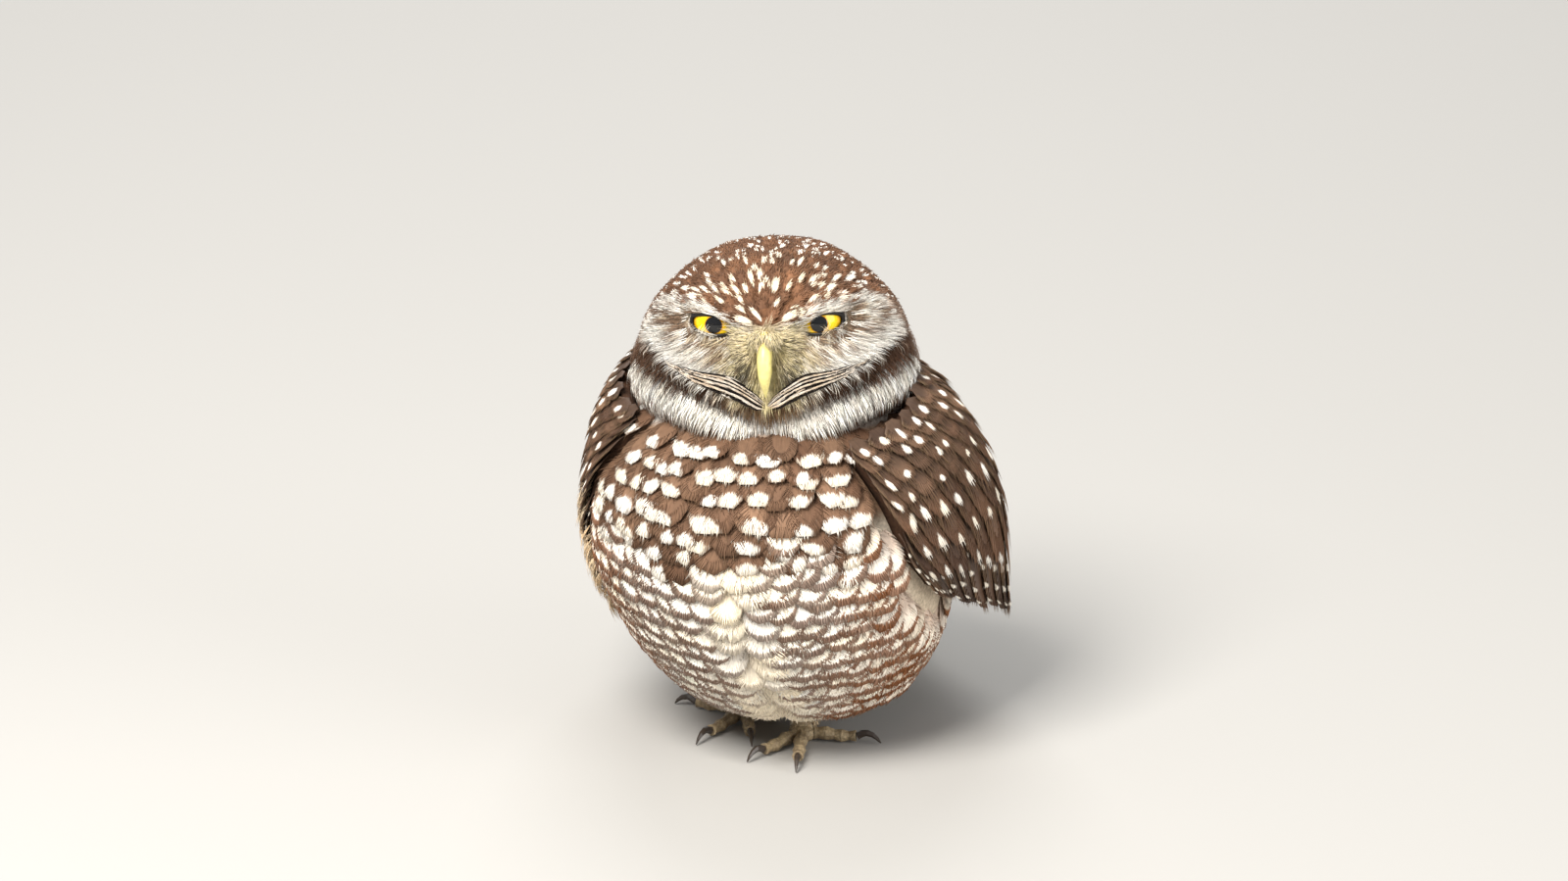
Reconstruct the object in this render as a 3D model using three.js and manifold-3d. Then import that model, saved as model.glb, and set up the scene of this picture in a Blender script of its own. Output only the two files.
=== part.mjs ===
// A burrowing owl standing hunched and fluffed on flat ground, life size.
// Millimetres, +Z up. The bird faces -Y, its left side is +X, and the ground is the lowest level.
import * as THREE from "three";
import { mergeVertices } from "three/addons/utils/BufferGeometryUtils.js";
import Module from "manifold-3d";

const wasm = await Module();
wasm.setup();

const GAP = 0.3;
const SIDES = { left: 1, right: -1 };

// Body stations from the belly up: height, half width, front y, back y, middle x.
const BODY = [
  [13.5, 0, 0, 0, 2],
  [15, 19, -18, 20, 2.5],
  [20.5, 38.5, -34, 42, 4.5],
  [34, 49, -46, 51, 3.5],
  [52, 55.5, -55, 55, 2],
  [72, 58, -58.5, 55, 0.5],
  [92, 56, -55, 54, 0],
  [107, 51, -46, 49, 0],
  [119, 42, -34, 41, 0],
  [127, 27, -18, 32, 0],
  [130, 0, 6, 6, 0],
];

// Head stations from the throat up, in the head's own frame, with the same five numbers.
const HEAD = [
  [-28, 0, -10, -10, 0],
  [-27, 23, -28, 16, 0],
  [-23.5, 36, -36.5, 27, 0],
  [-17, 43.5, -38.5, 34, 0],
  [-9, 44.5, -38.5, 37, 0],
  [0, 42, -37, 37.5, 0],
  [8, 38.5, -35, 36, 0],
  [15, 33, -32, 32, 0],
  [21.5, 25, -26, 26.5, 0],
  [26.3, 15.5, -17.5, 17, 0],
  [28.5, 0, 0, 0, 0],
];
const HEAD_CENTRE = new THREE.Vector3(0, 0, 134.5);
const HEAD_YAW = 14;
const HEAD_PITCH = 6;
const HEAD_ROLL = -2;

const EYE = { x: 16.8, y: -23.6, z: 8.9, radius: 8.2, outward: 10, slant: 16 };
const LID = { thick: 0.9, upper: 10, lower: -34, back: 2.5 };

// Planes that part the body: height at the front and at the back of a span centred on the body.
const NECK_FLOOR = { front: 104, back: 121, half: 45 };
const NECK_ROOF = { front: 118, back: 131, half: 38 };

// Wing net for the left side: rows from the shoulder down, points from the front edge to the back.
const WING = [
  [[37, -36, 111], [50, -16, 116], [45, 9, 123], [24, 27, 127]],
  [[50, -34, 94], [59, -8, 99], [56, 24, 105], [22, 49, 112]],
  [[57, -27, 73], [65, 3, 73], [63, 37, 76], [20, 62, 85]],
  [[59, -13, 57], [64.5, 17, 44], [62, 47, 34], [18, 74, 42]],
];
// The right wing sits a little further back.
const WING_BACK = { left: 0, right: 5 };
// The wing's base, under its feathers: how far down and how deep it lies, and how thick it is.
const WING_BASE = { to: 0.86, sink: 3.4, thick: 7 };
// Tiers of feathers on the wing, the lowest first. from and to are shares of the wing's length.
const TIERS = [
  { count: 9, from: 0.5, to: 1.02, v: [0.03, 0.99] },
  { count: 8, from: 0.34, to: 0.78, v: [0.02, 0.98] },
  { count: 7, from: 0.17, to: 0.56, v: [0.03, 0.97] },
  { count: 6, from: 0, to: 0.36, v: [0.05, 0.95] },
];
// How deep a wing feather's root and tip lie under the wing's surface, how wide half of it is as a share of
// the step to the next feather, and how far it stands over that one.
const SHINGLE = { root: -5.2, tip: 0, spread: 0.64, over: 1.5 };
const PRIMARIES = { count: 5, root: 0.72, v: [0.34, 0.8], half: 5, tip: [14, 98, 25], first: [44, 68, 34] };
const SCAPULARS = { count: 4, from: 0, to: 0.72, v: 0.93, length: 0.34, pitch: 0.09, lift: 1.5 };
const ALULA = { count: 2, from: 0.64, to: 0.98, v: [0.01, 0.07], pitch: 0.06, lift: 1 };

const TAIL = {
  root: [0, 50, 48], tip: [0, 99, 14], count: 12, rootStep: 1.6, tipStep: 2.7,
  half: 5.6, coverts: 4, covertTo: 0.52, covertLift: 1.3,
};

// Feet: where each stands, and each toe's heading from straight ahead towards the outside, and its length.
const FOOT = { left: [11, -5], right: [-12, 8], height: 6.5, radius: 4.6 };
const TOES = [
  { turn: -155, length: 8, claw: 7 },
  { turn: -22, length: 14, claw: 8.5 },
  { turn: 14, length: 16, claw: 9 },
  { turn: 98, length: 12.5, claw: 8 },
];
const TOE_RADIUS = 2.3;
const CLAW_RADIUS = 1.35;
const SHANK = { radius: 3.1, top: 11, lean: 2 };
const CUFF = { radius: 7.5, bottom: 9.4, top: 24 };

const LOOKS = {
  plumage: { color: 0xcdb99c, roughness: 0.9, metalness: 0 },
  crown: { color: 0x9a7556, roughness: 0.9, metalness: 0 },
  flight: { color: 0x5d4434, roughness: 0.85, metalness: 0 },
  iris: { color: 0xe0c010, roughness: 0.15, metalness: 0 },
  lid: { color: 0x1d1a18, roughness: 0.6, metalness: 0 },
  bill: { color: 0xd6c77e, roughness: 0.4, metalness: 0 },
  shank: { color: 0xb9a58c, roughness: 0.9, metalness: 0 },
  toe: { color: 0xa08c74, roughness: 0.8, metalness: 0 },
  claw: { color: 0x2a2420, roughness: 0.4, metalness: 0 },
};

const UPWARD = new THREE.Vector3(0, 0, 1);
const rad = THREE.MathUtils.degToRad;
const lerp = THREE.MathUtils.lerp;
const bell = (x, width) => Math.exp(-((x / width) ** 2));

// Catmull-Rom through rows of numbers: t is 0 at the first row and 1 at the last.
function along(rows, t) {
  const x = THREE.MathUtils.clamp(t, 0, 1) * (rows.length - 1);
  const i = Math.min(Math.floor(x), rows.length - 2);
  const f = x - i;
  const row = (k) => rows[THREE.MathUtils.clamp(k, 0, rows.length - 1)];
  const [a, b, c, d] = [row(i - 1), row(i), row(i + 1), row(i + 2)];
  return b.map(
    (_, k) =>
      b[k] +
      0.5 * f * (c[k] - a[k] + f * (2 * a[k] - 5 * b[k] + 4 * c[k] - d[k] +
        f * (3 * b[k] - a[k] - 3 * c[k] + d[k]))),
  );
}

// Rings of points, each with the same count, as one closed surface with its ends capped.
function lofted(rings) {
  const count = rings[0].length;
  const places = rings.flat();
  const faces = [];
  for (let i = 0; i + 1 < rings.length; i++)
    for (let j = 0; j < count; j++) {
      const [a, b] = [i * count + j, i * count + ((j + 1) % count)];
      faces.push(a, b, b + count, a, b + count, a + count);
    }
  for (const [start, turn] of [[0, 1], [(rings.length - 1) * count, 0]])
    for (let j = 1; j + 1 < count; j++)
      faces.push(start, start + j + turn, start + j + 1 - turn);
  const geometry = new THREE.BufferGeometry().setFromPoints(places);
  geometry.setIndex(faces);
  return geometry;
}

// A closed geometry as a solid that faces outwards.
function solid(geometry) {
  const bare = new THREE.BufferGeometry();
  bare.setAttribute("position", geometry.getAttribute("position"));
  bare.setIndex(geometry.index);
  const merged = mergeVertices(bare, 1e-4);
  const index = merged.index.array;
  const make = (turn) => {
    const kept = [];
    for (let i = 0; i < index.length; i += 3) {
      const [a, b, c] = [index[i], index[i + 1 + turn], index[i + 2 - turn]];
      if (a !== b && b !== c && c !== a) kept.push(a, b, c);
    }
    return new wasm.Manifold(
      new wasm.Mesh({
        numProp: 3,
        vertProperties: merged.getAttribute("position").array,
        triVerts: Uint32Array.from(kept),
      }),
    );
  };
  const made = make(0);
  return made.volume() > 0 ? made : make(1);
}

const ball = (radius, centre, wide = 12, high = 8) =>
  solid(new THREE.SphereGeometry(radius, wide, high)).translate(centre.toArray());

// The largest closed surface of a solid, so that no scrap or sealed hollow is left.
const largest = (made) => made.decompose().sort((a, b) => b.volume() - a.volume())[0];

function geometryOf(made) {
  const mesh = made.getMesh();
  const geometry = new THREE.BufferGeometry();
  const places = new Float32Array(mesh.numVert * 3);
  for (let i = 0; i < mesh.numVert; i++)
    places.set(mesh.vertProperties.subarray(i * mesh.numProp, i * mesh.numProp + 3), i * 3);
  geometry.setAttribute("position", new THREE.BufferAttribute(places, 3));
  geometry.setIndex(new THREE.BufferAttribute(mesh.triVerts, 1));
  return geometry;
}

// A solid without slivers or scraps, as one closed surface. Where two of its corners share a place, each is
// drawn in a little, so that the surface touches itself nowhere.
function tidy(made, tolerance = 0.06) {
  let kept = largest(made.simplify(tolerance));
  for (let pass = 0; pass < 6; pass++) {
    const geometry = geometryOf(kept);
    geometry.computeVertexNormals();
    const place = geometry.getAttribute("position");
    const normal = geometry.getAttribute("normal");
    const sharing = new Map();
    for (let i = 0; i < place.count; i++) {
      const key = [place.getX(i), place.getY(i), place.getZ(i)].map((c) => Math.round(c / 0.004)).join();
      sharing.set(key, [...(sharing.get(key) ?? []), i]);
    }
    const touching = [...sharing.values()].filter((list) => list.length > 1).flat();
    if (!touching.length) break;
    for (const i of touching)
      place.setXYZ(
        i,
        place.getX(i) - 0.02 * normal.getX(i),
        place.getY(i) - 0.02 * normal.getY(i),
        place.getZ(i) - 0.02 * normal.getZ(i),
      );
    kept = largest(solid(geometry));
  }
  return kept;
}

// A point of a slice: the front and back halves are half ellipses that meet at the sides.
function onSlice([z, w, front, back, x], angle, grow) {
  const middle = (front + back) / 2;
  const reach = (Math.cos(angle) > 0 ? middle - front : back - middle) + grow;
  return new THREE.Vector3(x + (w + grow) * Math.sin(angle), middle - reach * Math.cos(angle), z);
}

function bodySurface(grow) {
  const [levels, around] = [15, 30];
  const rings = [];
  for (let i = 0; i <= levels; i++) {
    const t = i / levels;
    const row = along(BODY, t);
    row[0] += grow * (2 * t - 1);
    rings.push(
      Array.from({ length: around }, (_, j) => onSlice(row, (j / around) * 2 * Math.PI, grow)),
    );
  }
  return solid(lofted(rings));
}

// How far the face stands proud of the plain head, forward, at a place seen from the front.
function faceRelief(x, z) {
  const side = Math.abs(x);
  const brow = 9 + 0.27 * side;
  const rim = -16 + 12 * (side / 27) ** 1.3;
  const browRidge = 3.6 * bell(z - brow - 1.5, 4) * bell(Math.max(side - 24, 0), 7);
  const eyeHollow = -3 * bell(side - 17, 8) * bell(z - 5, 5);
  const billMound = 2.6 * bell(x, 6.5) * bell(z - 1, 9);
  const cheek = 1.6 * bell(side - 21, 10) * bell(z + 5, 6);
  const discRim = 1.6 * bell(z - rim, 3) * bell(Math.max(side - 26, 0), 6);
  const collar = -1.4 * bell(z - rim + 6.5, 3.4) * bell(Math.max(side - 34, 0), 6);
  return browRidge + eyeHollow + billMound + cheek + discRim + collar;
}

const headTurn = new THREE.Matrix4()
  .makeRotationZ(rad(HEAD_YAW))
  .multiply(new THREE.Matrix4().makeRotationX(rad(-HEAD_PITCH)))
  .multiply(new THREE.Matrix4().makeRotationY(rad(HEAD_ROLL)));
const headPlace = new THREE.Matrix4().makeTranslation(HEAD_CENTRE).multiply(headTurn);
const atHead = (x, y, z) => new THREE.Vector3(x, y, z).applyMatrix4(headPlace);
const headward = (x, y, z) => new THREE.Vector3(x, y, z).transformDirection(headPlace);

// Angles round the head, closer together over the face.
function headAngles(count) {
  return Array.from({ length: count }, (_, j) => {
    const a = (j / count) * 2 * Math.PI;
    return a - 0.42 * Math.sin(a);
  });
}

function headSurface(grow) {
  const levels = 20;
  const rings = [];
  for (let i = 0; i <= levels; i++) {
    const t = i / levels;
    const row = along(HEAD, t);
    row[0] += grow * (2 * t - 1);
    rings.push(
      headAngles(36).map((angle) => {
        const p = onSlice(row, angle, grow);
        const facing = THREE.MathUtils.smoothstep(Math.cos(angle), 0.1, 0.6);
        p.y -= facing * faceRelief(p.x, p.z);
        return p.applyMatrix4(headPlace);
      }),
    );
  }
  return solid(lofted(rings));
}

// The part of a solid above a sloping plane, or below it, half a gap from the plane.
function aboveSlope(made, { front, back, half }, up) {
  const normal = new THREE.Vector3(0, front - back, 2 * half).normalize();
  const level = normal.dot(new THREE.Vector3(0, 0, (front + back) / 2));
  normal.multiplyScalar(up ? 1 : -1);
  return made.trimByPlane(normal.toArray(), (up ? 1 : -1) * level + GAP / 2);
}

// An eye's centre and its own directions: ahead, along its corners, and up across them.
function eyeFrame(side) {
  const centre = atHead(side * EYE.x, EYE.y, EYE.z);
  const out = rad(EYE.outward);
  const ahead = headward(side * Math.sin(out), -Math.cos(out), 0);
  const slant = rad(EYE.slant);
  const level = Math.cos(slant);
  const corners = headward(side * Math.cos(out) * level, Math.sin(out) * level, Math.sin(slant));
  const up = corners.clone().cross(ahead).multiplyScalar(side).normalize();
  return { centre, ahead, corners, up };
}

// The side of a plane through a point that its normal points to.
const beyond = (made, normal, point) => made.trimByPlane(normal.toArray(), normal.dot(point));

// A lid: part of a shell round the eye, above or below the opening.
function lid(frame, upper) {
  const inner = EYE.radius + GAP;
  const shell = ball(inner + LID.thick, frame.centre).subtract(ball(inner, frame.centre));
  const front = beyond(shell, frame.ahead, frame.centre.clone().addScaledVector(frame.ahead, LID.back));
  const angle = rad(upper ? LID.upper : LID.lower);
  const edge = frame.up.clone().multiplyScalar(Math.cos(angle)).addScaledVector(frame.ahead, -Math.sin(angle));
  edge.multiplyScalar(upper ? 1 : -1);
  return largest(beyond(front, edge, frame.centre));
}

// The room that an eye and its lids take in the head.
function socket(frame) {
  const globe = ball(EYE.radius + GAP, frame.centre);
  const room = ball(EYE.radius + 2 * GAP + LID.thick, frame.centre);
  const back = frame.centre.clone().addScaledVector(frame.ahead, LID.back - GAP);
  return globe.add(beyond(room, frame.ahead, back));
}

// A tapering bar along a curve. size(s) gives its half width and half height, and up is the direction in
// which the height runs.
function bar(curve, size, up, steps, sides) {
  const rings = [];
  for (let i = 0; i <= steps; i++) {
    const s = i / steps;
    const p = curve.getPoint(s);
    const dir = curve.getTangent(s);
    const across = up.clone().cross(dir).normalize();
    const high = dir.clone().cross(across);
    const [w, h] = size(s);
    rings.push(
      Array.from({ length: sides }, (_, j) => {
        const a = (j / sides) * 2 * Math.PI;
        return p.clone().addScaledVector(across, w * Math.cos(a)).addScaledVector(high, h * Math.sin(a));
      }),
    );
  }
  return solid(lofted(rings));
}

// The hooked upper bill with its nostrils, and the shorter lower bill behind it.
const BILL = {
  upper: [[0, -30, 3.5], [0, -38, 3.8], [0, -42.5, 0], [0, -43.2, -7], [0, -40.6, -14.2]],
  upperSize: [[3.3, 3.6], [3.3, 3.6], [3.1, 3.4], [2.3, 2.5], [0.5, 0.5]],
  lower: [[0, -30, -3.5], [0, -36, -5], [0, -39, -8.6], [0, -38.6, -11.6]],
  lowerSize: [[2.4, 1.9], [2.4, 1.8], [1.8, 1.3], [0.5, 0.4]],
  nostril: [2.6, -39.6, 3.4],
  nostrilRadius: 1.1,
};

function billBar(points, sizes, grow) {
  const curve = new THREE.CatmullRomCurve3(points.map((p) => atHead(...p)));
  return bar(curve, (s) => along(sizes, s).map((r) => r + grow), headward(1, 0, 0), 7, 8);
}

function bills(head) {
  const [x, y, z] = BILL.nostril;
  const nostril = (side) => ball(BILL.nostrilRadius, atHead(side * x, y, z), 8, 6);
  const upper = billBar(BILL.upper, BILL.upperSize, 0).subtract(nostril(1)).subtract(nostril(-1));
  const lower = billBar(BILL.lower, BILL.lowerSize, 0).subtract(billBar(BILL.upper, BILL.upperSize, GAP));
  return [largest(upper.subtract(head)), largest(lower.subtract(head))];
}

// A point of the wing's outer surface: u runs down the wing and v from its front edge to its back edge.
function wingPoint(side, u, v) {
  const at = (share) => {
    const row = WING.map((points) => along(points, v));
    return new THREE.Vector3(...along(row, share));
  };
  const p = at(Math.min(u, 1));
  if (u > 1) p.addScaledVector(p.clone().sub(at(0.96)), (u - 1) / 0.04);
  p.x *= side;
  p.y += side > 0 ? WING_BACK.left : WING_BACK.right;
  return p;
}

// A place on the wing and the direction out of the wing there.
function wingFrame(side, u, v) {
  const step = 0.02;
  const p = wingPoint(side, u, v);
  const down = wingPoint(side, u + step, v).sub(wingPoint(side, u - step, v)).normalize();
  const across = wingPoint(side, u, v + step).sub(wingPoint(side, u, v - step)).normalize();
  const out = down.cross(across).multiplyScalar(side).normalize();
  return { p, out };
}

// Shares along a feather, with its half width there as a share of the widest.
const VANE = [[0, 0.5], [0.42, 0.97], [0.86, 0.9], [1, 0.3]];
const VANE_THICK = 0.6;
const LAYER = VANE_THICK + GAP;

// A feather's vane: a thin blade with a raised shaft. places holds a point, an outward direction and a half
// width for each row of VANE, and lean tips the blade about its length.
function vane(places, lean) {
  const rings = places.map(({ p, out, half }, i) => {
    const next = places[Math.min(i + 1, places.length - 1)].p;
    const last = places[Math.max(i - 1, 0)].p;
    const flat = next.clone().sub(last).normalize().cross(out).normalize();
    const across = flat.clone().multiplyScalar(Math.cos(lean)).addScaledVector(out, Math.sin(lean));
    const high = out.clone().multiplyScalar(Math.cos(lean)).addScaledVector(flat, -Math.sin(lean));
    const w = half * VANE[i][1];
    const at = (side, rise) => p.clone().addScaledVector(across, side * w).addScaledVector(high, rise);
    return [at(-1, 0), at(1, 0), at(1, -VANE_THICK), at(-1, -VANE_THICK)];
  });
  return solid(lofted(rings));
}

// A vane that lies along the wing from (u0, v0) to (u1, v1), rising from its sunk root to its tip. pitch is
// the share of the wing's breadth from one feather to the next.
function wingVane(side, [u0, v0], [u1, v1], pitch, lift) {
  let apart = 0;
  const places = VANE.map(([s]) => {
    const [u, v] = [lerp(u0, u1, s), lerp(v0, v1, s)];
    const { p, out } = wingFrame(side, u, v);
    const step = wingPoint(side, u, v + pitch / 2).distanceTo(wingPoint(side, u, v - pitch / 2));
    apart = Math.max(apart, step);
    p.addScaledVector(out, lerp(SHINGLE.root, SHINGLE.tip + lift, s ** 0.45));
    return { p, out, half: SHINGLE.spread * step };
  });
  return vane(places, side * Math.asin(SHINGLE.over / apart));
}

function wingBase(side) {
  const [down, over] = [6, 7];
  const rings = [];
  for (let i = 0; i <= down; i++) {
    const outer = [];
    const inner = [];
    for (let j = 0; j <= over; j++) {
      const { p, out } = wingFrame(side, (WING_BASE.to * i) / down, lerp(0.01, 0.99, j / over));
      outer.push(p.clone().addScaledVector(out, -WING_BASE.sink));
      inner.unshift(p.clone().addScaledVector(out, -WING_BASE.sink - WING_BASE.thick));
    }
    rings.push([...outer, ...inner]);
  }
  return solid(lofted(rings));
}

// A small repeatable wobble, so that like feathers differ a little.
const wobble = (n) => Math.sin(n * 12.9898 + 4.1) * 0.5;

function wingFeathers(side) {
  const made = [];
  TIERS.forEach((tier, row) => {
    for (let k = 0; k < tier.count; k++) {
      const v = lerp(tier.v[0], tier.v[1], (k + 0.5) / tier.count);
      const to = tier.to + 0.03 * wobble(k + 3 * row);
      made.push(wingVane(side, [tier.from, v], [to, v], (tier.v[1] - tier.v[0]) / tier.count, 0));
    }
  });
  for (let k = 0; k < SCAPULARS.count; k++) {
    const from = lerp(SCAPULARS.from, SCAPULARS.to - SCAPULARS.length, k / (SCAPULARS.count - 1));
    const v = SCAPULARS.v - 0.04 * (k % 2);
    const to = from + SCAPULARS.length;
    made.push(wingVane(side, [from, v], [to, v + 0.02], SCAPULARS.pitch, SCAPULARS.lift));
  }
  for (let k = 0; k < ALULA.count; k++) {
    const v = lerp(ALULA.v[0], ALULA.v[1], k / (ALULA.count - 1));
    made.push(wingVane(side, [ALULA.from, v], [ALULA.to + 0.03 * k, v + 0.04], ALULA.pitch, ALULA.lift));
  }
  return made;
}

// The long outer flight feathers, one under another, from under the wing to its tip over the tail.
function primaries(side) {
  const made = [];
  for (let k = 0; k < PRIMARIES.count; k++) {
    const share = k / (PRIMARIES.count - 1);
    const root = wingFrame(side, PRIMARIES.root, lerp(PRIMARIES.v[1], PRIMARIES.v[0], share));
    root.p.addScaledVector(root.out, -WING_BASE.sink - 2);
    const tip = new THREE.Vector3(...PRIMARIES.first).lerp(new THREE.Vector3(...PRIMARIES.tip), share);
    tip.x *= side;
    const middle = root.p.clone().lerp(tip, 0.5).addScaledVector(root.out, 1.5);
    const curve = new THREE.QuadraticBezierCurve3(root.p, middle, tip);
    const outAtTip = new THREE.Vector3(side * 0.75, 0.45, 0.5).normalize();
    const places = VANE.map(([s]) => {
      const out = root.out.clone().lerp(outAtTip, s).normalize();
      const p = curve.getPoint(s).addScaledVector(out, -LAYER * k * Math.min(1, 2 * s));
      return { p, out, half: PRIMARIES.half };
    });
    made.push(vane(places, 0));
  }
  return made;
}

// The tail's directions: along it, and out of its upper side.
const tailRoot = new THREE.Vector3(...TAIL.root);
const tailTip = new THREE.Vector3(...TAIL.tip);
const tailAlong = tailTip.clone().sub(tailRoot).normalize();
const tailUp = new THREE.Vector3(1, 0, 0).cross(tailAlong).normalize();
if (tailUp.z < 0) tailUp.negate();

// A feather of the tail, the given number of steps from the middle and the given height over the others.
function tailVane(steps, to, lift) {
  const out = tailUp.clone().addScaledVector(new THREE.Vector3(1, 0, 0), steps * 0.045).normalize();
  const places = VANE.map(([s]) => {
    const p = tailRoot.clone().lerp(tailTip, s * to);
    p.x += steps * lerp(TAIL.rootStep, TAIL.tipStep, s * to);
    p.addScaledVector(tailUp, lift);
    p.addScaledVector(tailAlong, -0.35 * Math.abs(steps) * s);
    return { p, out, half: TAIL.half };
  });
  return vane(places, 0);
}

function tailPlug(grow) {
  const curve = new THREE.LineCurve3(
    tailRoot.clone().addScaledVector(tailAlong, -16),
    tailRoot.clone().addScaledVector(tailAlong, 22 + grow),
  );
  const size = (s) => [lerp(15, 11, s) + grow, lerp(9.5, 2.6, s) + grow];
  return bar(curve, size, tailUp, 5, 12).translate(tailUp.clone().multiplyScalar(-2.5).toArray());
}

function tailSolid() {
  const pieces = [tailPlug(0)];
  for (let k = 0; k < TAIL.count; k++) {
    const steps = k - (TAIL.count - 1) / 2;
    const under = steps === 0.5 ? 0 : Math.abs(steps) + 0.5;
    pieces.push(tailVane(steps, 1, -LAYER * under));
  }
  for (let k = 0; k < TAIL.coverts; k++) {
    const steps = (k - (TAIL.coverts - 1) / 2) * 2.2;
    pieces.push(tailVane(steps, TAIL.covertTo, TAIL.covertLift - LAYER * Math.abs(steps) * 0.5));
  }
  return wasm.Manifold.union(pieces);
}

// Everything of a foot's own: the pad, its toes and claws, the shank and the feathered cuff above it.
function legParts(name, side, body) {
  const [x, y] = FOOT[name];
  const parts = {};
  const foot = (grow) => {
    const pad = new THREE.SphereGeometry(1, 12, 8);
    pad.scale(FOOT.radius + grow, FOOT.radius + grow, FOOT.height / 2 + grow);
    return solid(pad).translate([x, y, FOOT.height / 2 - 0.6]).trimByPlane([0, 0, 1], 0);
  };
  parts["foot_" + name] = foot(0);
  const cut = foot(GAP);
  let taken = cut;
  TOES.forEach(({ turn, length, claw }, k) => {
    const heading = rad(turn) * side;
    const dir = new THREE.Vector3(Math.sin(heading), -Math.cos(heading), 0);
    const at = (reach, z) => new THREE.Vector3(x, y, z).addScaledVector(dir, reach);
    const start = FOOT.radius - 2;
    const end = FOOT.radius + length;
    const line = new THREE.CatmullRomCurve3([
      at(start, 2.6), at(lerp(start, end, 0.35), 2.7), at(lerp(start, end, 0.7), 2.2), at(end, 2.4),
    ]);
    const pads = (s) => TOE_RADIUS * lerp(1, 0.72, s) + 0.28 * Math.cos(s * 6 * Math.PI);
    const toe = (grow) => bar(line, (s) => [pads(s) + grow, pads(s) + grow], UPWARD, 6, 8);
    parts[`toe_${name}_${k + 1}`] = largest(toe(0).trimByPlane([0, 0, 1], 0).subtract(taken));
    taken = taken.add(toe(GAP));
    const hook = new THREE.CatmullRomCurve3([
      at(end + 2 * GAP, 2.5), at(end + 0.38 * claw, 3.6), at(end + 0.75 * claw, 2.7), at(end + claw, 0.5),
    ]);
    const taper = (s) => CLAW_RADIUS * Math.sqrt(1 - 0.97 * s);
    parts[`claw_${name}_${k + 1}`] = bar(hook, (s) => [taper(s) * 0.85, taper(s)], UPWARD, 5, 6);
  });
  const shank = bar(
    new THREE.LineCurve3(new THREE.Vector3(x, y, 3), new THREE.Vector3(x, y + SHANK.lean, SHANK.top)),
    (s) => [SHANK.radius * lerp(0.95, 1.1, s), SHANK.radius * lerp(1, 1.15, s)],
    new THREE.Vector3(0, 1, 0), 3, 12,
  );
  const cuff = bar(
    new THREE.LineCurve3(new THREE.Vector3(x, y + 1.5, CUFF.bottom - 1), new THREE.Vector3(x, y + 3, CUFF.top)),
    (s) => [lerp(4.6, CUFF.radius, Math.sqrt(s)), lerp(4.6, CUFF.radius, Math.sqrt(s))],
    new THREE.Vector3(0, 1, 0), 5, 16,
  );
  parts["thigh_" + name] = largest(cuff.trimByPlane([0, 0, 1], CUFF.bottom).subtract(body));
  parts["shank_" + name] = largest(
    shank.trimByPlane([0, 0, -1], -(CUFF.bottom - GAP)).subtract(cut),
  );
  return parts;
}

function build() {
  const parts = {};
  const head = headSurface(0);
  const whole = bodySurface(0).add(head);
  const room = bodySurface(GAP).add(headSurface(GAP));
  parts.torso = largest(aboveSlope(whole, NECK_FLOOR, false));
  parts.neck = largest(aboveSlope(aboveSlope(whole, NECK_FLOOR, true), NECK_ROOF, false));
  let skull = aboveSlope(whole, NECK_ROOF, true);
  for (const [name, side] of Object.entries(SIDES)) {
    const frame = eyeFrame(side);
    skull = skull.subtract(socket(frame));
    parts["eye_" + name] = ball(EYE.radius, frame.centre);
    parts["lid_upper_" + name] = lid(frame, true);
    parts["lid_lower_" + name] = lid(frame, false);
  }
  [parts.bill_upper, parts.bill_lower] = bills(room);
  parts.head = largest(skull);
  const tailRoom = tailPlug(1.2);
  parts.tail = largest(tailSolid().subtract(room));
  for (const [name, side] of Object.entries(SIDES)) {
    const pieces = [wingBase(side), ...wingFeathers(side), ...primaries(side)];
    const wing = wasm.Manifold.union(pieces).subtract(room).subtract(tailRoom);
    parts["wing_" + name] = largest(wing);
    Object.assign(parts, legParts(name, side, room));
  }
  return parts;
}

const LOOK_OF = {
  torso: "plumage", neck: "plumage", head: "crown", tail: "flight", wing: "flight", thigh: "plumage",
  eye: "iris", lid: "lid", bill: "bill", shank: "shank", foot: "toe", toe: "toe", claw: "claw",
};

// The origin is on the ground, under the middle of the whole bird.
const solids = Object.entries(build());
const box = new THREE.Box3();
for (const [, made] of solids) {
  const { min, max } = made.boundingBox();
  box.expandByPoint(new THREE.Vector3(...min)).expandByPoint(new THREE.Vector3(...max));
}
const shift = [-(box.min.x + box.max.x) / 2, -(box.min.y + box.max.y) / 2, -box.min.z];

const owl = new THREE.Group();
for (const [name, made] of solids) {
  const mesh = new THREE.Mesh(geometryOf(tidy(made.translate(shift))));
  mesh.material = new THREE.MeshStandardMaterial(LOOKS[LOOK_OF[name.split("_")[0]]]);
  mesh.name = name;
  owl.add(mesh);
}

export default owl;
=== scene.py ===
"""The looks of the burrowing owl: skin, feathers, eyes, bill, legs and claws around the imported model."""

import math

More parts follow.
